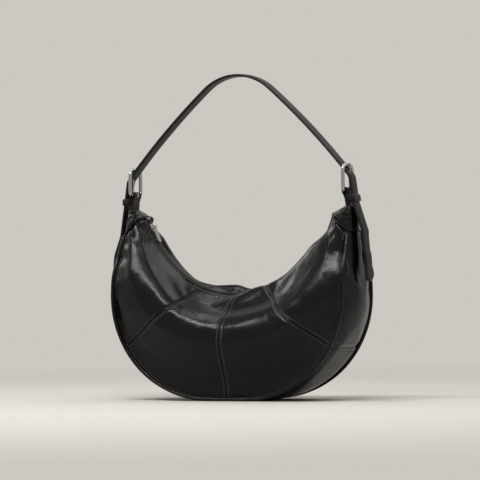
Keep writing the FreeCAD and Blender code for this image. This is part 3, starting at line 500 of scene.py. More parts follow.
def close_ends(mesh):
    """Close a tube by a face at each open end, with all faces turned outwards."""
    bmesh.ops.holes_fill(mesh, edges=[e for e in mesh.edges if e.is_boundary])
    bmesh.ops.recalc_face_normals(mesh, faces=mesh.faces)


def thicken(piece, thickness, offset=-1.0):
    """Give a sheet its thickness, inwards unless an offset is named."""
    wall = piece.modifiers.new("Wall", "SOLIDIFY")
    wall.thickness = thickness
    wall.offset = offset
    wall.use_even_offset = False


def dense_ends(share, strength=0.72):
    """Spread of columns that is closer at both ends."""
    return share - strength * math.sin(2 * math.pi * share) / (2 * math.pi)


# Materials.

def new_group(name, inputs, outputs):
    """Empty node group with its sockets."""
    group = bpy.data.node_groups.new(name, "ShaderNodeTree")
    for label, kind, value in inputs:
        socket = group.interface.new_socket(label, in_out="INPUT", socket_type=kind)
        socket.default_value = value
    for label, kind in outputs:
        group.interface.new_socket(label, in_out="OUTPUT", socket_type=kind)
    return group, group.nodes.new("NodeGroupInput"), group.nodes.new("NodeGroupOutput")


def node(tree, kind, **values):
    """Node with its settings and its unlinked inputs."""
    made = tree.nodes.new(kind)
    for key, value in values.items():
        if hasattr(made, key) and key not in made.inputs:
            setattr(made, key, value)
        else:
            made.inputs[key.replace("_", " ")].default_value = value
    return made


def texture(tree, kind, **values):
    """Texture that follows the object's own coordinates."""
    made = node(tree, kind, **values)
    coords = node(tree, "ShaderNodeTexCoord")
    tree.links.new(coords.outputs["Object"], made.inputs["Vector"])
    return made


def combine(tree, operation, *terms):
    """Result of a math node, whose terms are sockets or numbers."""
    made = node(tree, "ShaderNodeMath", operation=operation)
    for socket, term in zip(made.inputs, terms):
        if isinstance(term, float):
            socket.default_value = term
        else:
            tree.links.new(term, socket)
    return made.outputs[0]


def emboss(tree, shader, height, strength, distance):
    """Relief of a surface from a height."""
    relief = node(tree, "ShaderNodeBump", Strength=strength, Distance=distance)
    tree.links.new(height, relief.inputs["Height"])
    tree.links.new(relief.outputs["Normal"], shader.inputs["Normal"])


def grain_group():
    """Leather grain: pebbles, pores and soft creases as one height, and patchy sheen as one mask."""
    name = "Leather grain"
    if name in bpy.data.node_groups:
        return bpy.data.node_groups[name]
    group, start, end = new_group(
        name,
        [("Scale", "NodeSocketFloat", 900.0), ("Crease", "NodeSocketFloat", 0.4)],
        [("Height", "NodeSocketFloat"), ("Patch", "NodeSocketFloat")],
    )
    links = group.links
    pebble = texture(group, "ShaderNodeTexVoronoi", feature="SMOOTH_F1")
    links.new(start.outputs["Scale"], pebble.inputs["Scale"])
    crease = texture(group, "ShaderNodeTexNoise", Scale=55.0, Detail=5.0, Roughness=0.62, Distortion=0.6)
    scaled = combine(group, "MULTIPLY", crease.outputs["Fac"], start.outputs["Crease"])
    height = combine(group, "MULTIPLY_ADD", pebble.outputs["Distance"], 0.35, scaled)
    patch = texture(group, "ShaderNodeTexNoise", Scale=24.0, Detail=3.0, Roughness=0.5)
    links.new(height, end.inputs["Height"])
    links.new(patch.outputs["Fac"], end.inputs["Patch"])
    return group


def new_material(name):
    """Material with a Principled BSDF, and its tree and shader."""
    material = bpy.data.materials.new(name)
    material.use_nodes = True
    tree = material.node_tree
    shader = next(n for n in tree.nodes if n.type == "BSDF_PRINCIPLED")
    return material, tree, shader


def spread(tree, source, low, high):
    """Map the middle of a mask onto a range."""
    ramp = node(tree, "ShaderNodeMapRange", From_Min=0.3, From_Max=0.7, To_Min=low, To_Max=high)
    tree.links.new(source, ramp.inputs["Value"])
    return ramp.outputs["Result"]


def tint(tree, source, dark, light):
    """Blend two colours by a mask."""
    mix = node(tree, "ShaderNodeMix", data_type="RGBA")
    mix.inputs[6].default_value = (*dark, 1)
    mix.inputs[7].default_value = (*light, 1)
    tree.links.new(source, mix.inputs[0])
    return mix.outputs[2]


def leather_material(name, colour, rough, scale, crease, depth, specular):
    """Leather with grain, patchy gloss and a faint change of colour."""
    if name in bpy.data.materials:
        return bpy.data.materials[name]
    material, tree, shader = new_material(name)
    grain = node(tree, "ShaderNodeGroup", node_tree=grain_group())
    grain.inputs["Scale"].default_value = scale
    grain.inputs["Crease"].default_value = crease
    lighter = [c * 1.7 + 0.001 for c in colour]
    tree.links.new(tint(tree, grain.outputs["Patch"], colour, lighter), shader.inputs["Base Color"])
    tree.links.new(spread(tree, grain.outputs["Patch"], *rough), shader.inputs["Roughness"])
    emboss(tree, shader, grain.outputs["Height"], depth, 0.6 * MM)
    shader.inputs["Specular IOR Level"].default_value = specular
    return material


def glazed_leather():
    """Black glazed leather of the body."""
    return leather_material(
        "Glazed leather", tuple(colours().leather), rough=(0.12, 0.23), scale=1100.0, crease=2.6,
        depth=0.4, specular=0.19)


def strap_leather():
    """Satin leather of strap, tabs and keepers."""
    return leather_material(
        "Strap leather", tuple(colours().strap), rough=(0.34, 0.46), scale=1300.0, crease=0.3,
        depth=0.25, specular=0.16)


def polished_metal(name="Polished metal", painted_shade=1.0):
    """Polished silver metal with faint handling marks; a factor below one darkens its colour as painted
    shade.
    """
    if name in bpy.data.materials:
        return bpy.data.materials[name]
    material, tree, shader = new_material(name)
    marks = texture(tree, "ShaderNodeTexNoise", Scale=420.0, Detail=4.0, Roughness=0.6)
    tree.links.new(spread(tree, marks.outputs["Fac"], 0.05, 0.12), shader.inputs["Roughness"])
    # The colour times the factor: below one it is painted shade, not a darker metal.
    shader.inputs["Base Color"].default_value = (*[c * painted_shade for c in colours().metal], 1)
    shader.inputs["Metallic"].default_value = 1.0
    return material


def woven(name, colour, scale):
    """Close weave for tape and lining."""
    if name in bpy.data.materials:
        return bpy.data.materials[name]
    material, tree, shader = new_material(name)
    warp = texture(tree, "ShaderNodeTexWave", wave_type="BANDS", bands_direction="X", Scale=scale)
    weft = texture(tree, "ShaderNodeTexWave", wave_type="BANDS", bands_direction="Z", Scale=scale)
    cloth = combine(tree, "MULTIPLY", warp.outputs["Fac"], weft.outputs["Fac"])
    light = [c * 2.2 for c in colour]
    tree.links.new(tint(tree, cloth, colour, light), shader.inputs["Base Color"])
    emboss(tree, shader, cloth, 0.5, 0.3 * MM)
    shader.inputs["Roughness"].default_value = 0.85
    return material


def thread_material():
    """Waxed thread."""
    name = "Thread"
    if name in bpy.data.materials:
        return bpy.data.materials[name]
    material, tree, shader = new_material(name)
    twist = texture(tree, "ShaderNodeTexNoise", Scale=900.0, Detail=2.0)
    colour = tuple(colours().thread)
    tree.links.new(tint(tree, twist.outputs["Fac"], colour, [c * 2 for c in colour]),
                   shader.inputs["Base Color"])
    shader.inputs["Roughness"].default_value = 0.5
    return material


# Operators: one for each group of pieces.

class BAG_OT_slouch(bpy.types.Operator):
    """Let the leather of front, back and gusset settle into soft folds"""

    bl_idname = "bag.slouch"
    bl_label = "Slouch"

    def execute(self, context):
        middle = Vector((0, 0, zip_centre()))
        for side in (FRONT, BACK):
            SLOUCH[side] = self.settle(
                context.scene, lambda angle, up, side=side: panel_point(angle, up, side),
                lambda centre, side=side: Vector((0, side, 0.25)), self.panel_hold, PANEL_SLACK, PANEL_MOVE)
        SLOUCH["gusset"] = self.settle(
            context.scene, gusset_point, lambda centre: centre - middle, self.gusset_hold,
            GUSSET_SLACK, GUSSET_MOVE)
        return {"FINISHED"}

    def settle(self, scene, surface, outward, hold, slack, furthest):
        """Simulate one piece, sewn all round, and give the move of each point of its grid."""
        places = {}

        def place(across, up):
            """Point of the piece before it settles."""
            at = (round(across * SLOUCH_COLUMNS), round(up * SLOUCH_ROWS))
            angle = (2 * across - 1) * CAP_ANGLE
            places[at] = surface(angle if abs(angle) > TINY else TINY, up)
            return places[at]

        mesh = grid_sheet(SLOUCH_COLUMNS, SLOUCH_ROWS, place, outward)
        data = bpy.data.meshes.new("slack")
        mesh.to_mesh(data)
        mesh.free()
        piece = bpy.data.objects.new("slack", data)
        scene.collection.objects.link(piece)
        order = self.order(data, places)
        sewn = piece.vertex_groups.new(name="sewn")
        for at, index in order.items():
            edge = at[0] in (0, SLOUCH_COLUMNS) or at[1] in (0, SLOUCH_ROWS)
            sewn.add([index], 1.0 if edge else hold(at), "REPLACE")
        cloth = piece.modifiers.new("Cloth", "CLOTH")
        cloth.point_cache.frame_start, cloth.point_cache.frame_end = 1, SETTLE_FRAMES
        settings = cloth.settings
        settings.quality = 6
        settings.mass = 0.25
        settings.tension_stiffness = settings.compression_stiffness = 30.0
        settings.shear_stiffness = 12.0
        settings.bending_stiffness = 0.6
        settings.vertex_group_mass = "sewn"
        settings.pin_stiffness = 1.0
        settings.shrink_min = -slack
        settings.use_pressure = True
        settings.uniform_pressure_force = 2.0
        settings.effector_weights.gravity = 0.2
        cloth.collision_settings.use_collision = False
        for step in range(1, SETTLE_FRAMES + 1):
            scene.frame_set(step)
        settled = piece.evaluated_get(bpy.context.evaluated_depsgraph_get()).data
        moves = {}
        for at, index in order.items():
            move = settled.vertices[index].co - places[at]
            moves[at] = move * (furthest * math.tanh(move.length / furthest) / max(move.length, 1e-9))
        bpy.data.objects.remove(piece)
        bpy.data.meshes.remove(data)
        scene.frame_set(1)
        for passing in range(EVENING_PASSES):
            moves = {at: self.evened(moves, at) for at in moves}
        return moves

    def evened(self, moves, at):
        """Move of a grid point, evened out with its neighbours; the sewn edge stays."""
        column, row = at
        if column in (0, SLOUCH_COLUMNS) or row in (0, SLOUCH_ROWS):
            return moves[at]
        along = moves[column - 1, row] + moves[column + 1, row]
        across = moves[column, row - 1] + moves[column, row + 1]
        return moves[at] * 0.4 + (along + across) * 0.15

    def order(self, data, places):
        """Index of each grid point's vertex."""
        found = {tuple(round(c, 7) for c in vert.co): vert.index for vert in data.vertices}
        return {at: found[tuple(round(c, 7) for c in Vector(point))] for at, point in places.items()}

    def panel_hold(self, at):
        """How firmly a panel is held: lightly along the seams and beside the zip."""
        angle = abs(2 * at[0] / SLOUCH_COLUMNS - 1) * CAP_ANGLE
        beside = min(abs(angle - SEAM_ANGLE), angle)
        horn = 0.25 * ease((angle - 38) / 14)
        return 0.02 + horn + 0.15 * bump(beside, 1.5) + 0.2 * bump(at[1] / SLOUCH_ROWS, 0.16)

    def gusset_hold(self, at):
        """How firmly the gusset is held: it rests under the bag and hangs free at the sides."""
        angle = abs(2 * at[0] / SLOUCH_COLUMNS - 1) * CAP_ANGLE
        return 0.02 + 0.6 * ease((SEAM_ANGLE + 2 - angle) / 8) + 0.15 * bump(angle - SEAM_ANGLE, 1.5)


class BAG_OT_panels(bpy.types.Operator):
    """Leather gores of the front and the back"""

    bl_idname = "bag.panels"
    bl_label = "Panels"

    def execute(self, context):
        for side, face in FACES:
            for mirror, hand in HANDS:
                for gore, (start, end) in GORES.items():
                    self.gore(side, face, mirror, hand, gore, start, end)
        return {"FINISHED"}

    def gore(self, side, face, mirror, hand, gore, start, end):
        """One gore between two seams."""
        widths = {}

        def place(across, up):
            """Point of the gore, at a share of its width and of its length."""
            gore_share = dense_ends(across)
            if up not in widths:
                widths[up] = (section_at(end).place(section_at(end).at(up)[0], side)
                              - section_at(start).place(section_at(start).at(up)[0], side)).length
            distance = min(gore_share, 1 - gore_share) * widths[up]
            angle = mirror * max(start + (end - start) * gore_share, TINY)
            return panel_point(angle, up, side, 0.0, distance, gore_share)

        outward = Vector((0, side, 0.25))
        mesh = grid_sheet(56, 56, place, lambda centre: outward)
        name = f"{face}_{hand}_{gore}_leather"
        piece = finish_piece(
            name, mesh, "bag", glazed_leather(), [f"{face}_{hand}_{gore}_gore"])
        thicken(piece, shape().leather)


class BAG_OT_gusset(bpy.types.Operator):
    """Leather gusset between the pipings"""

    bl_idname = "bag.gusset"
    bl_label = "Gusset"

    def execute(self, context):
        self.strip("gusset_base_leather", -SEAM_ANGLE, SEAM_ANGLE, "gusset_base", 120)
        self.strip("gusset_right_leather", SEAM_ANGLE, CAP_ANGLE, "gusset_right", 72)
        self.strip("gusset_left_leather", -SEAM_ANGLE, -CAP_ANGLE, "gusset_left", 72)
        return {"FINISHED"}

    def strip(self, name, start, end, solid, columns):
        """One length of the gusset between two cross seams."""

        def place(along, across):
            """Point of the strip, pinched in at its cross seams."""
            share = dense_ends(along)
            angle = start + (end - start) * share
            distance = min(share, 1 - share) * abs(end - start) * DEGREE_RUN
            lift = -PINCH_DEPTH * bump(distance, PINCH_WIDTH)
            return gusset_point(angle, across, lift)

        middle = Vector((0, 0, zip_centre()))
        mesh = grid_sheet(columns, 28, place, lambda centre: centre - middle)
        piece = finish_piece(name, mesh, "bag", glazed_leather(), [solid])
        thicken(piece, shape().leather)


# Piping: how far the cord stands out and off the panel, and its swelling above the base.
CORD_OUT, CORD_STAND, CORD_SWELL = 0.7 * MM, 1.5 * MM, 0.5 * MM
CORD_FOOT, CORD_HEIGHT = 4 * MM, 40 * MM


class BAG_OT_piping(bpy.types.Operator):
    """Covered cord along both edges of the gusset"""

    bl_idname = "bag.piping"
    bl_label = "Piping"

    def execute(self, context):
        for side, face in FACES:
            self.cord(side, face)
        return {"FINISHED"}

    def cord(self, side, face):
        """One piping from horn to horn."""

        def middle(angle):
            """Point on the piping's middle line."""
            a = max(abs(angle), TINY)
            x, z = on_piping(a)[:2]
            return lean(Vector(((-1 if angle < 0 else 1) * x, side * smooth(PIPING_DEPTHS, a) * MM, z)))

        def place(along, around):
            """Point of the tube."""
            angle = (2 * along - 1) * CAP_ANGLE
            centre = middle(angle)
            high = ease((centre.z - CORD_FOOT) / CORD_HEIGHT)
            centre = centre + Vector((math.copysign(CORD_OUT, angle) * high, side * CORD_STAND, 0))
            tangent = (middle(angle + 0.2) - middle(angle - 0.2)).normalized()
            flat = Vector((0, side, 0))
            flat = (flat - tangent * flat.dot(tangent)).normalized()
            other = tangent.cross(flat)
            turn = 2 * math.pi * around
            radius = shape().piping_radius * (1 + 0.04 * noise.noise(Vector((along * 160, side, 0))))
            radius = (radius + CORD_SWELL * high) * (0.3 + 0.7 * ease((CAP_ANGLE - abs(angle)) / 1.6))
            return centre + (flat * math.cos(turn) + other * math.sin(turn)) * radius

        mesh = grid_sheet(260, 14, place, closed=True)
        close_ends(mesh)
        finish_piece(f"{face}_piping_cord", mesh, "bag", glazed_leather(),
                     [f"{face}_piping"])


def tube(count, around, middle, radius, closed, start=Vector((0, 1, 0))):
    """Round tube along middle(share), joined end to end or closed by its two end faces."""

    def place(along, turn):
        """Point of the tube's skin."""
        step = 0.5 / count
        here = middle(along)
        ahead = middle((along + step) % 1 if closed else min(along + step, 1))
        behind = middle((along - step) % 1 if closed else max(along - step, 0))
        tangent = (ahead - behind).normalized()
        flat = (start - tangent * start.dot(tangent)).normalized()
        angle = 2 * math.pi * turn
        thick = radius if closed else radius * (0.25 + 0.75 * ease(12 * min(along, 1 - along)))
        return here + (flat * math.cos(angle) + tangent.cross(flat) * math.sin(angle)) * thick

    mesh = grid_sheet(count, around, place, closed=True)
    if not closed:
        close_ends(mesh)
    return mesh


def along_points(points, share):
    """Point at a share of the length of a row of points."""
    total = 0.0
    runs = [0.0]
    for before, after in zip(points, points[1:]):
        total += (after - before).length
        runs.append(total)
    run = share * total
    index = 1
    while index < len(points) - 1 and runs[index] < run:
        index += 1
    part = (run - runs[index - 1]) / (runs[index] - runs[index - 1])
    return points[index - 1].lerp(points[index], part)


def cap_rim(turn, mirror):
    """Point of the seam between a horn and its cap: front panel, gusset, back panel, zip."""
    angle = mirror * CAP_ANGLE
    share = (turn % 1) * 3.4
    if share < 1:
        return panel_point(angle, share, FRONT)
    if share < 2:
        return gusset_point(angle, share - 1)
    if share < 3:
        return panel_point(angle, 3 - share, BACK)
    front, back = panel_point(angle, 0.0, FRONT), panel_point(angle, 0.0, BACK)
    return back.lerp(front, (share - 3) / 0.4)


# Horn caps: their mouth round the tab, their axis and core, and the welt along their seam.
CAP_TIP_X, CAP_TIP_Z = 157 * MM, 249.6 * MM
CAP_AXIS_X = 150 * MM
CAP_CORE_X, CAP_CORE_Z = 152 * MM, 235 * MM
MOUTH_HALF_X, MOUTH_HALF_Y = 6.3 * MM, 12.8 * MM
CAP_LEATHER = 1.2 * MM
SLEEVE_SHARE = 0.7
WELT_RADIUS, WELT_STAND = 1.5 * MM, 0.7 * MM


class BAG_OT_caps(bpy.types.Operator):
    """Leather cap over each horn, puckered round its tab"""

    bl_idname = "bag.caps"
    bl_label = "Horn caps"

    def execute(self, context):
        for mirror, hand in HANDS:
            self.cap(mirror, hand)
            self.welt(mirror, hand)
        return {"FINISHED"}

    def cap(self, mirror, hand):
        """Closed sleeve from the seam to the tab, turned in at its mouth."""
        tip = lean(Vector((mirror * CAP_TIP_X, 0, CAP_TIP_Z)))
        axis_x = mirror * (CAP_AXIS_X - CAP_TIP_X) + tip.x

        def mouth(turn, size):
            """Point of the mouth's ring, at a share of its full size."""
            angle = 2 * math.pi * (turn - 0.44)
            wave = 1 + 0.05 * math.sin(7 * angle + mirror)
            across = math.copysign(abs(math.sin(angle)) ** 0.75, math.sin(angle))
            return tip + Vector((
                mirror * MOUTH_HALF_X * size * wave * math.cos(angle),
                MOUTH_HALF_Y * size * wave * across,
                -0.5 * MM * math.cos(angle),
            ))

        def place(turn, up):
            """Point of the cap: the sleeve below, the rolled mouth above."""
            rim = cap_rim(turn, mirror)
            sleeve = min(up / SLEEVE_SHARE, 1.0)
            point = rim.lerp(mouth(turn, 1.0), sleeve ** 0.9)
            outward = Vector((point.x - axis_x, point.y, 0))
            if outward.length > 1e-9:
                outward.normalize()
            pucker = self.pucker(point, 2 * math.pi * turn, sleeve, mirror)
            outer = ease(1.4 * mirror * outward.x)
            bulge = self.bulge(sleeve, outer)
            clear = 1 - ease(-1.6 * mirror * outward.x)
            free = math.sin(math.pi * min(sleeve, 1.0)) ** 0.7 * (1 - 0.8 * ease((sleeve - 0.5) / 0.4))
            free *= 1 - outer
            point = point + outward * (bulge * clear + pucker * (0.4 + 0.6 * clear) * free) * MM
            if up > SLEEVE_SHARE:
                roll = (up - SLEEVE_SHARE) / (1 - SLEEVE_SHARE)
                size = 1 - 0.55 * ease(roll)
                rise = 1.2 * math.sin(math.pi * min(roll * 1.4, 1.0)) - 7 * ease(roll * 1.2 - 0.2)
                point = mouth(turn, size) + Vector((0, 0, rise * MM))
            return point

        core = Vector((mirror * CAP_CORE_X, 0, CAP_CORE_Z))
        mesh = grid_sheet(120, 56, place, lambda centre: centre - core, True)
        piece = finish_piece(f"horn_cap_{hand}_leather", mesh, "bag", glazed_leather(),
                             [f"horn_cap_{hand}"])
        thicken(piece, CAP_LEATHER)

    def pucker(self, point, angle, sleeve, mirror):
        """Wrinkles of the cap in millimetres: gathers at the mouth and crumples below it."""
        gathers = 0.9 * math.sin(11 * angle + 2 * mirror) * ease(sleeve * 1.3 - 0.3)
        crumples = 1.6 * noise.noise(point * 95) + 0.4 * noise.noise(point * 190)
        waver = 3 * math.sin(angle + mirror) + 4 * noise.noise(point * 60)
        return gathers + crumples + 0.9 * math.sin(15 * sleeve + waver)

    def bulge(self, sleeve, outer):
        """Swell of the cap in millimetres, with a roll over its seam; the strap's side stays flat."""
        swell = 2.2 * math.sin(math.pi * sleeve) * (1 - 0.9 * outer) + 0.5 * (1 - sleeve)
        return swell + 2.4 * bump(sleeve - 0.17, 0.1) * (1 - outer)

    def welt(self, mirror, hand):
        """Rolled edge along the cap's seam."""

        def middle(share):
            """Point of the welt's middle line, just proud of the seam."""
            point = cap_rim(0.015 + share * 0.85, mirror)
            out = Vector((point.x - mirror * CAP_AXIS_X, point.y, 0)).normalized()
            return point + out * WELT_STAND

        mesh = tube(120, 10, middle, WELT_RADIUS, False)
        finish_piece(f"horn_welt_{hand}", mesh, "bag", glazed_leather())


# Zip: tapes, teeth and the angles where they end.
TAPE_END, TEETH_END = 75.0, 73.0
TAPE_INNER, TAPE_WIDTH, TAPE_THICK, TAPE_DROP = 3.2 * MM, 5.0 * MM, 0.8 * MM, 0.2 * MM
TOOTH_SIZE = (1.25 * MM, 3.0 * MM, 2.2 * MM)
TOOTH_STAND, TOOTH_BEVEL = 2.15 * MM, 0.22 * MM


class BAG_OT_zip(bpy.types.Operator):
    """Zip tapes, teeth, stops, slider and pull"""

    bl_idname = "bag.zip"
    bl_label = "Zip"

    def execute(self, context):
        for side, face in FACES:
            self.tape(side, face)
            self.teeth(side, face)
        for name in ("zip_stop_left", "zip_stop_right", "zip_slider", "zip_pull"):
            polish(name, 0.35 * MM)
        return {"FINISHED"}

    def tape(self, side, face):
        """Woven tape between teeth and leather."""

        def place(along, across):
            """Point of the tape."""
            x, z = on_zip((2 * along - 1) * TAPE_END, TAPE_DROP)
            return Vector((x, side * (TAPE_INNER + TAPE_WIDTH * across), z))

        mesh = grid_sheet(150, 3, place, lambda centre: Vector((0, 0, zip_centre())) - centre)
        piece = finish_piece(f"zip_tape_{face}_cloth", mesh, "bag",
                             woven("Zip tape", tuple(colours().tape), 700.0), [f"zip_tape_{face}"])
        thicken(piece, TAPE_THICK, 0.0)

    def teeth(self, side, face):
        """Row of bevelled teeth that mesh with the other row, in metal darkened as painted shade of the
        zip's recess.
        """
        pitch = math.degrees(trim().tooth_pitch / shape().zip_radius)
        count = int(TEETH_END / pitch)
        mesh = bmesh.new()
        for index in range(-count, count):
            angle = (index + (0.25 if side == FRONT else 0.75)) * pitch
            x, z = on_zip(angle)
            turn = Matrix.Rotation(math.radians(-angle), 4, "Y")
            size = Matrix.Diagonal((*TOOTH_SIZE, 1.0))
            shift = Matrix.Translation((x, side * TOOTH_STAND, z))
            bmesh.ops.create_cube(mesh, size=1.0, matrix=shift @ turn @ size)
        bmesh.ops.bevel(mesh, geom=mesh.edges[:], offset=TOOTH_BEVEL, affect="EDGES", segments=1,
                        profile=0.5, material=-1)
        # The teeth's metal is darkened to about a sixth: painted shade of the recess between the leather
        # edges.
        finish_piece(f"zip_teeth_{face}_metal", mesh, "bag",
                     polished_metal("Zip metal", 0.17), [f"zip_teeth_{face}"], False)


def polish(name, bevel):
    """Better finish on a metal solid that stays as it is."""
    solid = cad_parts[name]
    solid.data.materials.clear()
    solid.data.materials.append(polished_metal())
    edge = solid.modifiers.new("Edge", "BEVEL")
    edge.width = bevel
    edge.segments = 2
    edge.limit_method = "ANGLE"


# Buckles: middle, bars and corners of the frame.
BUCKLE_X = 153.7 * MM
BUCKLE_Z = 287.0 * MM
BAR_RISE = 16.4 * MM
HEEL_Z = BUCKLE_Z - BAR_RISE
FRAME_HALF_WIDTH, FRAME_BAR = 14.9 * MM, 2.4 * MM
FRAME_CORNERS = (7.5 * MM, 7.5 * MM, 4.9 * MM, 4.9 * MM)

# Strap: its crown and legs, its seat on the bar, and its free end in millimetres.
STRAP_TOP, CROWN_RADIUS, LEG_RADIUS = 424.4 * MM, 70 * MM, 976 * MM
BAR_ANGLE, BAR_GAP, BAR_REACH = math.radians(47), 4.1 * MM, 6.5 * MM
FREE_END = ((165.0, 256.8), (173.0, 214.8), (181.4, 186.8), (182.9, 152.8))
FREE_END_BENDS = (14 * MM, 60 * MM, 60 * MM, 60 * MM)
STAND_TOP, STAND_TOP_FADE = 254 * MM, 24 * MM
STAND_FOOT, STAND_FOOT_FADE = 196 * MM, 26 * MM


def ring(half_u, half_v, radii, steps):
    """Closed outline of a rectangle with four rounded corners, as pairs from its right side round."""
    row = []
    for index, (u, v) in enumerate(((1, 1), (-1, 1), (-1, -1), (1, -1))):
        radius = radii[index]
        for step in range(steps + 1):
            turn = math.radians(90 * index + 90 * step / steps)
            row.append((
                u * (half_u - radius) + math.cos(turn) * radius,
                v * (half_v - radius) + math.sin(turn) * radius))
    return row + row[:1]


def arc_points(centre, radius, start, end, count):
    """Points of an arc in the XZ plane, at angles from straight up."""
    turns = [start + (end - start) * step / count for step in range(count + 1)]
    return [centre + Vector((math.sin(t), 0, math.cos(t))) * radius for t in turns]


def rounded(points, radii):
    """Row of points through corners that are each rounded by a radius."""
    row = [points[0]]
    for index, radius in enumerate(radii, start=1):
        before = (points[index] - points[index - 1]).normalized()
        after = (points[index + 1] - points[index]).normalized()
        tangent = radius * math.tan(before.angle(after) / 2)
        bend_in, bend_out = points[index] - before * tangent, points[index] + after * tangent
        for step in range(13):
            share = step / 12
            first = bend_in.lerp(points[index], share)
            row.append(first.lerp(points[index].lerp(bend_out, share), share))
    return row + [points[-1]]


def strap_line():
    """Middle line of the right half of the strap, from its crown to its free end."""
    crown, leg = CROWN_RADIUS, LEG_RADIUS
    crown_centre = Vector((0, 0, STRAP_TOP)) - Vector((0, 0, crown))
    bar = Vector((BUCKLE_X, 0, BUCKLE_Z + BAR_RISE))
    leg_end = bar - Vector((math.sin(BAR_ANGLE), 0, math.cos(BAR_ANGLE))) * BAR_GAP
    apart = leg_end - crown_centre
    along = (apart.length ** 2 + (leg - crown) ** 2 - leg ** 2) / (2 * apart.length)
    across = math.sqrt((leg - crown) ** 2 - along ** 2)
    axis = apart.normalized()
    leg_centre = crown_centre + axis * along + Vector((axis.z, 0, -axis.x)) * across
    touch, reach = crown_centre - leg_centre, leg_end - leg_centre
    crown_turn, leg_turn = math.atan2(touch.x, touch.z), math.atan2(reach.x, reach.z)
    turn_x = BUCKLE_X + BAR_REACH
    turn = Vector((turn_x, 0, leg_end.z - (turn_x - leg_end.x) * math.tan(leg_turn)))
    corners = [leg_end, turn] + [Vector((x * MM, 0, z * MM)) for x, z in FREE_END]
    row = arc_points(crown_centre, crown, 0.0, crown_turn, 20)
    row += arc_points(leg_centre, leg, crown_turn, leg_turn, 40)[1:]
    return row + rounded(corners, FREE_END_BENDS)[1:]


def strap_lean(point):
    """The free ends stand off the horns, the right one further."""
    share = ease((STAND_TOP - point.z) / STAND_TOP_FADE) * ease((point.z - STAND_FOOT) / STAND_FOOT_FADE)
    return point + Vector((trim().strap_stand * (1.0 if point.x > 0 else 0.3) * share, 0, 0))


def strap_points():
    """Middle line of the whole strap, from the left free end to the right one."""
    right = strap_line()
    left = [Vector((-point.x, 0, point.z)) for point in reversed(right)]
    return [strap_lean(point) for point in left + right[1:]]


def band_outline(turn, half_width, half_thick):
    """Point of a flat band's section: two flats and two rounded edges."""
    flat = 2 * (half_width - half_thick)
    bend = math.pi * half_thick
    run = turn * 2 * (flat + bend)
    if run < flat:
        return run - flat / 2, -half_thick
    run -= flat
    if run < bend:
        angle = run / half_thick
        return flat / 2 + half_thick * math.sin(angle), -half_thick * math.cos(angle)
    run -= bend
    if run < flat:
        return flat / 2 - run, half_thick
    angle = (run - flat) / half_thick
    return -flat / 2 - half_thick * math.sin(angle), half_thick * math.cos(angle)


class BAG_OT_strap(bpy.types.Operator):
    """Strap, from one free end over the shoulder to the other"""

    bl_idname = "bag.strap"
    bl_label = "Strap"

    def execute(self, context):
        t = trim()
        points = strap_points()
        total = sum((b - a).length for a, b in zip(points, points[1:]))
        count = 420
        row = [along_points(points, step / count) for step in range(count + 1)]

        def place(along, turn):
            """Point of the strap's skin."""
            index = round(along * count)
            here = row[index]
            tangent = (row[min(index + 1, count)] - row[max(index - 1, 0)]).normalized()
            to_tip = min(along, 1 - along) * total
            half_width = t.strap_width / 2
            if to_tip < half_width:
                half_width *= math.sqrt(max(1 - (1 - to_tip / half_width) ** 2, 0.01))
            half_thick = t.strap_thick / 2
            across, up = band_outline(turn, half_width, min(half_thick, half_width * 0.9))
            crown = 0.35 * MM * (1 - (across / (t.strap_width / 2)) ** 2) * math.copysign(1, up)
            normal = Vector((0, 1, 0)).cross(tangent)
            return here + Vector((0, across, 0)) + normal * (up + crown)

        mesh = grid_sheet(count, 36, place, closed=True)
        close_ends(mesh)
        finish_piece("strap_band", mesh, "strap", strap_leather(), ["strap"])
        return {"FINISHED"}


class BAG_OT_hardware(bpy.types.Operator):
    """Polished buckles and prongs"""

    bl_idname = "bag.hardware"
    bl_label = "Hardware"

    def execute(self, context):
        for mirror, hand in HANDS:
            self.frame(mirror, hand)
            polish(f"buckle_prong_{hand}", 0.5 * MM)
        return {"FINISHED"}

    def frame(self, mirror, hand):
        """Ring of round bar with wide corners at the top."""
        outline = ring(FRAME_HALF_WIDTH, BAR_RISE, FRAME_CORNERS, 12)
        corners = [Vector((mirror * BUCKLE_X, across, BUCKLE_Z + up)) for across, up in outline]
        mesh = tube(144, 16, lambda share: along_points(corners, share), FRAME_BAR, True, Vector((1, 0, 0)))
        finish_piece(f"buckle_frame_{hand}_metal", mesh, "strap", polished_metal(),
                     [f"buckle_frame_{hand}"])


# Tabs: foot in the horn, leather, loop round the heel bar and slot for the prong.
TAB_FOOT_Z, TAB_LENGTH, TAB_WIDTH, TAB_THICK = 243 * MM, 30 * MM, 18.6 * MM, 2.0 * MM
TAB_HALF_GAP, TAB_PARTING, TAB_LOOP = 1.1 * MM, 9 * MM, 3.5 * MM
SLOT_HALF_WIDTH, SLOT_END = 2.1 * MM, 2.0 * MM

# Keepers: height, size, corners, and gaps from the middles of tab and strap.
KEEPER_Z, KEEPER_TALL, KEEPER_THICK = 261.3 * MM, 8.5 * MM, 1.5 * MM
KEEPER_HALF_WIDTH, KEEPER_CORNERS = 11.2 * MM, (1.6 * MM,) * 4
KEEPER_INNER, KEEPER_OUTER = 3.0 * MM, 2.9 * MM
FREE_END_TOP = 280 * MM


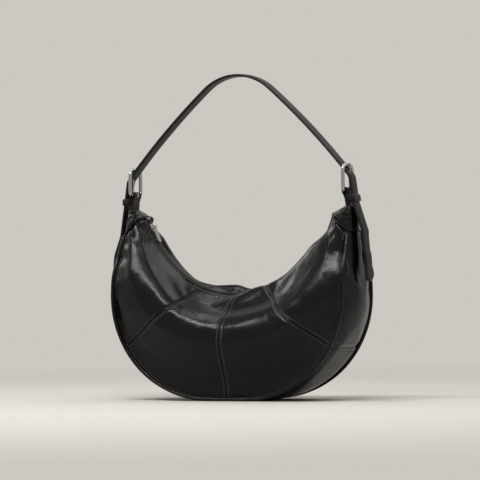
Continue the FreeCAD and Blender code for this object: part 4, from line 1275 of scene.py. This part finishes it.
class BAG_OT_tabs(bpy.types.Operator):
    """Folded tabs that hold the buckles, and the keepers on them"""

    bl_idname = "bag.tabs"
    bl_label = "Tabs and keepers"

    def execute(self, context):
        for mirror, hand in HANDS:
            self.tab(mirror, hand)
            self.keeper(mirror, hand)
        return {"FINISHED"}

    def foot(self, mirror):
        """Where the tab goes into its horn."""
        return lean(Vector((mirror * CAP_TIP_X, 0, TAB_FOOT_Z)))

    def tab(self, mirror, hand):
        """Leather from the horn, round the heel bar and back into the horn."""
        heel = Vector((mirror * BUCKLE_X, 0, HEEL_Z))
        down = (self.foot(mirror) - heel).normalized()
        out = Vector((-down.z, 0, down.x))
        end, parting, half = down * TAB_LENGTH, down * TAB_PARTING, out * TAB_HALF_GAP
        profile = [heel + end - half, heel + parting - half]
        for step in range(25):
            turn = math.radians(-25 + 230 * step / 24)
            profile.append(heel + (-out * math.cos(turn) - down * math.sin(turn)) * TAB_LOOP)
        profile += [heel + parting + half, heel + end + half]

        def place(along, across):
            """Point of the leather's middle layer."""
            return along_points(profile, along) + Vector((0, (across - 0.5) * TAB_WIDTH, 0))

        mesh = grid_sheet(72, 18, place, lambda centre: centre - heel - down * 10 * MM)
        slot = [f for f in mesh.faces if abs(f.calc_center_median().y) < SLOT_HALF_WIDTH
                and (f.calc_center_median() - heel).dot(down) < SLOT_END]
        bmesh.ops.delete(mesh, geom=slot, context="FACES")
        piece = finish_piece(f"buckle_tab_{hand}_leather", mesh, "strap", strap_leather(),
                             [f"buckle_tab_{hand}"])
        thicken(piece, TAB_THICK, 0.0)

    def keeper(self, mirror, hand):
        """Leather ring round the free end of the strap."""
        height = KEEPER_Z
        free_end = [p for p in strap_points() if p.x * mirror > 0 and p.z < FREE_END_TOP]
        beside = min(free_end, key=lambda p: abs(p.z - height))
        heel = Vector((mirror * BUCKLE_X, 0, HEEL_Z))
        foot = self.foot(mirror)
        tab_x = heel.lerp(foot, (HEEL_Z - height) / (HEEL_Z - foot.z)).x
        inner, outer = tab_x + mirror * KEEPER_INNER, beside.x + mirror * KEEPER_OUTER
        middle, half = (inner + outer) / 2, abs(outer - inner) / 2
        outline = ring(half, KEEPER_HALF_WIDTH, KEEPER_CORNERS, 6)
        corners = [Vector((middle + out, across, 0)) for out, across in outline]

        def place(along, up):
            """Point of the ring, slightly crowned."""
            crown = 0.35 * MM * (1 - (2 * up - 1) ** 2)
            point = along_points(corners, along)
            outward = Vector((point.x - middle, point.y * 0.5, 0)).normalized()
            slant = (foot.x - heel.x) / (HEEL_Z - foot.z)
            z = height + (up - 0.5) * KEEPER_TALL
            return point + outward * crown + Vector((slant * (height - z), 0, z))

        core = Vector((middle, 0, height))
        mesh = grid_sheet(72, 6, place, lambda centre: centre - core, True)
        piece = finish_piece(f"keeper_{hand}_leather", mesh, "strap", strap_leather(),
                             [f"keeper_{hand}"])
        thicken(piece, KEEPER_THICK)


# Stitch rows: lengths that are counted out in stitches, and how far thread lies over the leather.
ZIP_ROW, PIPING_ROW, CROSS_ROW = 365 * MM, 640 * MM, 84 * MM
SEAM_LIFT, EDGE_LIFT = 0.1 * MM, 0.15 * MM
CROSS_DEGREES = 1.3


def stitch_row(mesh, line, length):
    """Stitches along line(share), which gives a point and the way out of the leather."""
    t = trim()
    pitch = t.stitch_length + t.stitch_gap
    count = max(int(length / pitch), 1)
    row = bmesh.new()
    for index in range(count):
        share = (index + 0.5) / count
        point, out = line(share)
        ahead = line(min(share + 0.25 / count, 1))[0]
        behind = line(max(share - 0.25 / count, 0))[0]
        tangent = (ahead - behind).normalized()
        out = (out - tangent * out.dot(tangent)).normalized()
        turn = Matrix((tangent, out.cross(tangent), out)).transposed().to_4x4()
        size = Matrix.Diagonal((t.stitch_width / 2, t.stitch_width / 2, t.stitch_length / 2, 1.0))
        bmesh.ops.create_uvsphere(
            row, u_segments=6, v_segments=4, radius=1.0,
            matrix=Matrix.Translation(point) @ turn @ Matrix.Rotation(math.pi / 2, 4, "Y") @ size)
    data = bpy.data.meshes.new("row")
    row.to_mesh(data)
    row.free()
    mesh.from_mesh(data)
    bpy.data.meshes.remove(data)


class BAG_OT_stitching(bpy.types.Operator):
    """Rows of topstitching along the seams"""

    bl_idname = "bag.stitching"
    bl_label = "Stitching"

    def execute(self, context):
        offset = trim().stitch_offset
        mesh = bmesh.new()
        for side in (FRONT, BACK):
            for angle in (0.0, SEAM_ANGLE, -SEAM_ANGLE):
                for way in (-1, 1):
                    self.seam(mesh, angle, side, way * offset)
            self.zip_edge(mesh, side)
            self.piping_edge(mesh, side)
        for angle in (SEAM_ANGLE, -SEAM_ANGLE):
            for way in (-1, 1):
                self.cross_seam(mesh, angle, way * CROSS_DEGREES)
        finish_piece("topstitching", mesh, "bag", thread_material())
        return {"FINISHED"}

    def seam(self, mesh, angle, side, offset):
        """Row beside a gore's seam."""

        def line(share):
            """Point just over the leather, and the way out."""
            up = 0.03 + 0.94 * share
            here = panel_point(angle + TINY, up, side)
            beside = panel_point(angle + 0.5, up, side)
            turn = angle + offset / (beside - here).length * 0.5
            point = panel_point(turn, up, side, SEAM_LIFT, abs(offset), 0.04)
            down = panel_point(turn, min(up + 0.01, 1), side, SEAM_LIFT, abs(offset), 0.04) - point
            across = beside - here
            out = down.cross(across)
            if out.y * side < 0:
                out = -out
            return point, out

        stitch_row(mesh, line, sum(section_at(abs(angle)).runs) * 0.94)

    def zip_edge(self, mesh, side):
        """Row along the leather's edge beside the zip."""

        def line(share):
            """Point just over the leather, and the way out."""
            angle = (2 * share - 1) * CAP_ANGLE * 0.985
            point = panel_point(angle, 0.045, side, EDGE_LIFT)
            x, z = point.x, point.z - zip_centre()
            return point, Vector((-x, side * 0.05, -z))

        stitch_row(mesh, line, ZIP_ROW)

    def piping_edge(self, mesh, side):
        """Row along the panel beside the piping."""

        def line(share):
            """Point just over the leather, and the way out."""
            angle = (2 * share - 1) * CAP_ANGLE * 0.985
            angle = angle if abs(angle) > TINY else TINY
            up = 1 - trim().piping_stitch / sum(section_at(angle).runs)
            point = panel_point(angle, up, side, EDGE_LIFT)
            return point, Vector((0, side, 0))

        stitch_row(mesh, line, PIPING_ROW)

    def cross_seam(self, mesh, angle, degrees):
        """Row across the gusset beside its seam."""

        def line(share):
            """Point just over the leather, and the way out."""
            point = gusset_point(angle + degrees, 0.03 + 0.94 * share, SEAM_LIFT)
            return point, point - Vector((0, point.y * 0.6, zip_centre()))

        stitch_row(mesh, line, CROSS_ROW)


# Lining: flat size of each cut in metres, and how far it hangs inside the leather.
PANEL_CUT, GUSSET_CUT = (0.47, 0.24), (0.60, 0.09)
PANEL_INSET, GUSSET_INSET = -4.2 * MM, -3.6 * MM


class BAG_OT_lining(bpy.types.Operator):
    """Cloth lining hung inside the leather"""

    bl_idname = "bag.lining"
    bl_label = "Lining"

    def execute(self, context):
        for side, face in FACES:
            self.sheet(f"lining_{face}", lambda along, up, side=side: panel_point(
                (2 * along - 1) * CAP_ANGLE * 0.99, 0.04 + 0.90 * up, side, PANEL_INSET), PANEL_CUT)
        self.sheet("lining_gusset", lambda along, across: gusset_point(
            (2 * along - 1) * CAP_ANGLE * 0.98, 0.1 + 0.8 * across, GUSSET_INSET), GUSSET_CUT)
        return {"FINISHED"}

    def sheet(self, solid, place, flat):
        """One cut of lining."""
        mesh = grid_sheet(96, 24, place)
        area = sum(face.calc_area() for face in mesh.faces)
        piece = finish_piece(f"{solid}_cloth", mesh, "bag",
                             woven("Lining", tuple(colours().lining), 900.0), [solid])


# Soft boxes: name, place, the point it faces, width and height in metres, power in watts.
LAMPS = (
    ("overhead", (-0.45, -0.05, 2.1), (0, 0, 0.1), 1.5, 0.33, 9),
    ("strip", (-0.2, -1.2, 1.75), (0, 0, 0.12), 1.9, 0.06, 31),
    ("window", (-1.9, 0.4, 1.2), (0, 0, 0.15), 0.8, 0.45, 5),
    ("behind", (0.75, 1.1, 2.0), (0.0, 0, 0.15), 1.6, 1.1, 10),
    ("fill", (0.8, -0.8, 1.75), (0, 0, 0.15), 1.3, 1.0, 8),
    ("left", (-2.1, -0.8, 0.95), (-0.1, 0, 0.15), 0.9, 0.9, 3),
)
FLOOR_HALF = 6.0
ROOM_LIGHT = 0.36

# Camera: lens and sensor in millimetres, azimuth, elevation and roll in degrees, then the point it
# faces and its distance in metres.
LENS, SENSOR = 242.4, 36.0
CAMERA_TURN = (25.5, -0.52, -0.66)
CAMERA_HEIGHT, CAMERA_SHIFT, CAMERA_DISTANCE = 0.20905, 0.51 * MM, 4.23


class BAG_OT_stage(bpy.types.Operator):
    """Floor, light and camera"""

    bl_idname = "bag.stage"
    bl_label = "Stage"

    def execute(self, context):
        scene = context.scene
        scene.view_settings.view_transform = "Standard"
        mesh = bmesh.new()
        bmesh.ops.create_grid(mesh, x_segments=1, y_segments=1, size=FLOOR_HALF)
        data = bpy.data.meshes.new("floor")
        mesh.to_mesh(data)
        mesh.free()
        floor = bpy.data.objects.new("floor", data)
        scene.collection.objects.link(floor)
        data.materials.append(self.floor_material())
        for lamp in LAMPS:
            self.light(*lamp)
        self.world(scene)
        self.camera(scene)
        return {"FINISHED"}

    def seen(self, tree):
        """One for rays that show the room itself: straight to the camera, mirrored or through glass."""
        path = node(tree, "ShaderNodeLightPath")
        total = path.outputs["Is Camera Ray"]
        for kind in ("Is Glossy Ray", "Is Transmission Ray"):
            total = combine(tree, "MAXIMUM", total, path.outputs[kind])
        return total

    def floor_material(self):
        """Pale floor that holds the shadow and runs into the background further off."""
        material, tree, shader = new_material("Studio floor")
        shader.inputs["Base Color"].default_value = (*colours().studio, 1)
        shader.inputs["Roughness"].default_value = 0.9
        coords = node(tree, "ShaderNodeTexCoord")
        reach = node(tree, "ShaderNodeVectorMath", operation="LENGTH")
        tree.links.new(coords.outputs["Object"], reach.inputs[0])
        far = node(tree, "ShaderNodeMapRange", interpolation_type="SMOOTHSTEP", From_Min=0.3, From_Max=1.6)
        tree.links.new(reach.outputs["Value"], far.inputs["Value"])
        share = combine(tree, "MULTIPLY", far.outputs["Result"], self.seen(tree))
        room = node(tree, "ShaderNodeEmission")
        room.inputs["Color"].default_value = (*colours().studio, 1)
        mix = node(tree, "ShaderNodeMixShader")
        tree.links.new(share, mix.inputs[0])
        tree.links.new(shader.outputs[0], mix.inputs[1])
        tree.links.new(room.outputs[0], mix.inputs[2])
        out = next(n for n in tree.nodes if n.type == "OUTPUT_MATERIAL")
        tree.links.new(mix.outputs[0], out.inputs["Surface"])
        return material

    def light(self, name, place, target, wide, tall, power):
        """Soft box that faces a point."""
        lamp = bpy.data.lights.new(name, "AREA")
        lamp.shape = "RECTANGLE"
        lamp.size, lamp.size_y = wide, tall
        lamp.energy = power
        obj = bpy.data.objects.new(name, lamp)
        obj.location = place
        obj.rotation_euler = (Vector(target) - Vector(place)).to_track_quat("-Z", "Y").to_euler()
        bpy.context.scene.collection.objects.link(obj)

    def world(self, scene):
        """Plain pale room, whose own light is weaker than it looks."""
        world = bpy.data.worlds.new("Studio")
        scene.world = world
        world.use_nodes = True
        tree = world.node_tree
        room = tree.nodes["Background"]
        room.inputs["Color"].default_value = (*colours().studio, 1)
        strength = node(tree, "ShaderNodeMapRange", To_Min=ROOM_LIGHT, To_Max=1.0)
        tree.links.new(self.seen(tree), strength.inputs["Value"])
        tree.links.new(strength.outputs["Result"], room.inputs["Strength"])

    def camera(self, scene):
        """Long lens, level with the bag, from its front right."""
        data = bpy.data.cameras.new("camera")
        data.lens = LENS
        data.sensor_width = SENSOR
        camera = bpy.data.objects.new("camera", data)
        azimuth, elevation, roll = (math.radians(v) for v in CAMERA_TURN)
        back = Vector((
            math.sin(azimuth) * math.cos(elevation), -math.cos(azimuth) * math.cos(elevation),
            math.sin(elevation)))
        right = Vector((math.cos(azimuth), math.sin(azimuth), 0))
        target = Vector((0, 0, CAMERA_HEIGHT)) - right * CAMERA_SHIFT
        camera.location = target + back * CAMERA_DISTANCE
        camera.rotation_mode = "QUATERNION"
        camera.rotation_quaternion = (
            Matrix.Rotation(roll, 3, back) @ (-back).to_track_quat("-Z", "Y").to_matrix()).to_quaternion()
        scene.collection.objects.link(camera)
        scene.camera = camera


class BAG_PT_pieces(bpy.types.Panel):
    """Lists the groups of pieces"""

    bl_idname = "BAG_PT_pieces"
    bl_label = "Half moon bag"
    bl_space_type = "VIEW_3D"
    bl_region_type = "UI"
    bl_category = "Bag"

    def draw(self, context):
        for operator in OPERATORS:
            self.layout.operator(operator.bl_idname)


OPERATORS = (
    BAG_OT_slouch, BAG_OT_panels, BAG_OT_gusset, BAG_OT_piping, BAG_OT_caps, BAG_OT_zip,
    BAG_OT_strap, BAG_OT_hardware, BAG_OT_tabs, BAG_OT_stitching, BAG_OT_lining, BAG_OT_stage)
CLASSES = (BagShape, BagTrim, BagColours, *OPERATORS, BAG_PT_pieces)


def register():
    """Add the classes and the scene's settings."""
    for item in CLASSES:
        bpy.utils.register_class(item)
    bpy.types.Scene.bag_shape = bpy.props.PointerProperty(type=BagShape)
    bpy.types.Scene.bag_trim = bpy.props.PointerProperty(type=BagTrim)
    bpy.types.Scene.bag_colours = bpy.props.PointerProperty(type=BagColours)


def unregister():
    """Take the classes and the settings away."""
    del bpy.types.Scene.bag_colours
    del bpy.types.Scene.bag_trim
    del bpy.types.Scene.bag_shape
    for item in reversed(CLASSES):
        bpy.utils.unregister_class(item)


def main():
    """Make every group of pieces."""
    register()
    for operator in OPERATORS:
        group, name = operator.bl_idname.split(".")
        getattr(getattr(bpy.ops, group), name)()


if __name__ == "__main__":
    main()
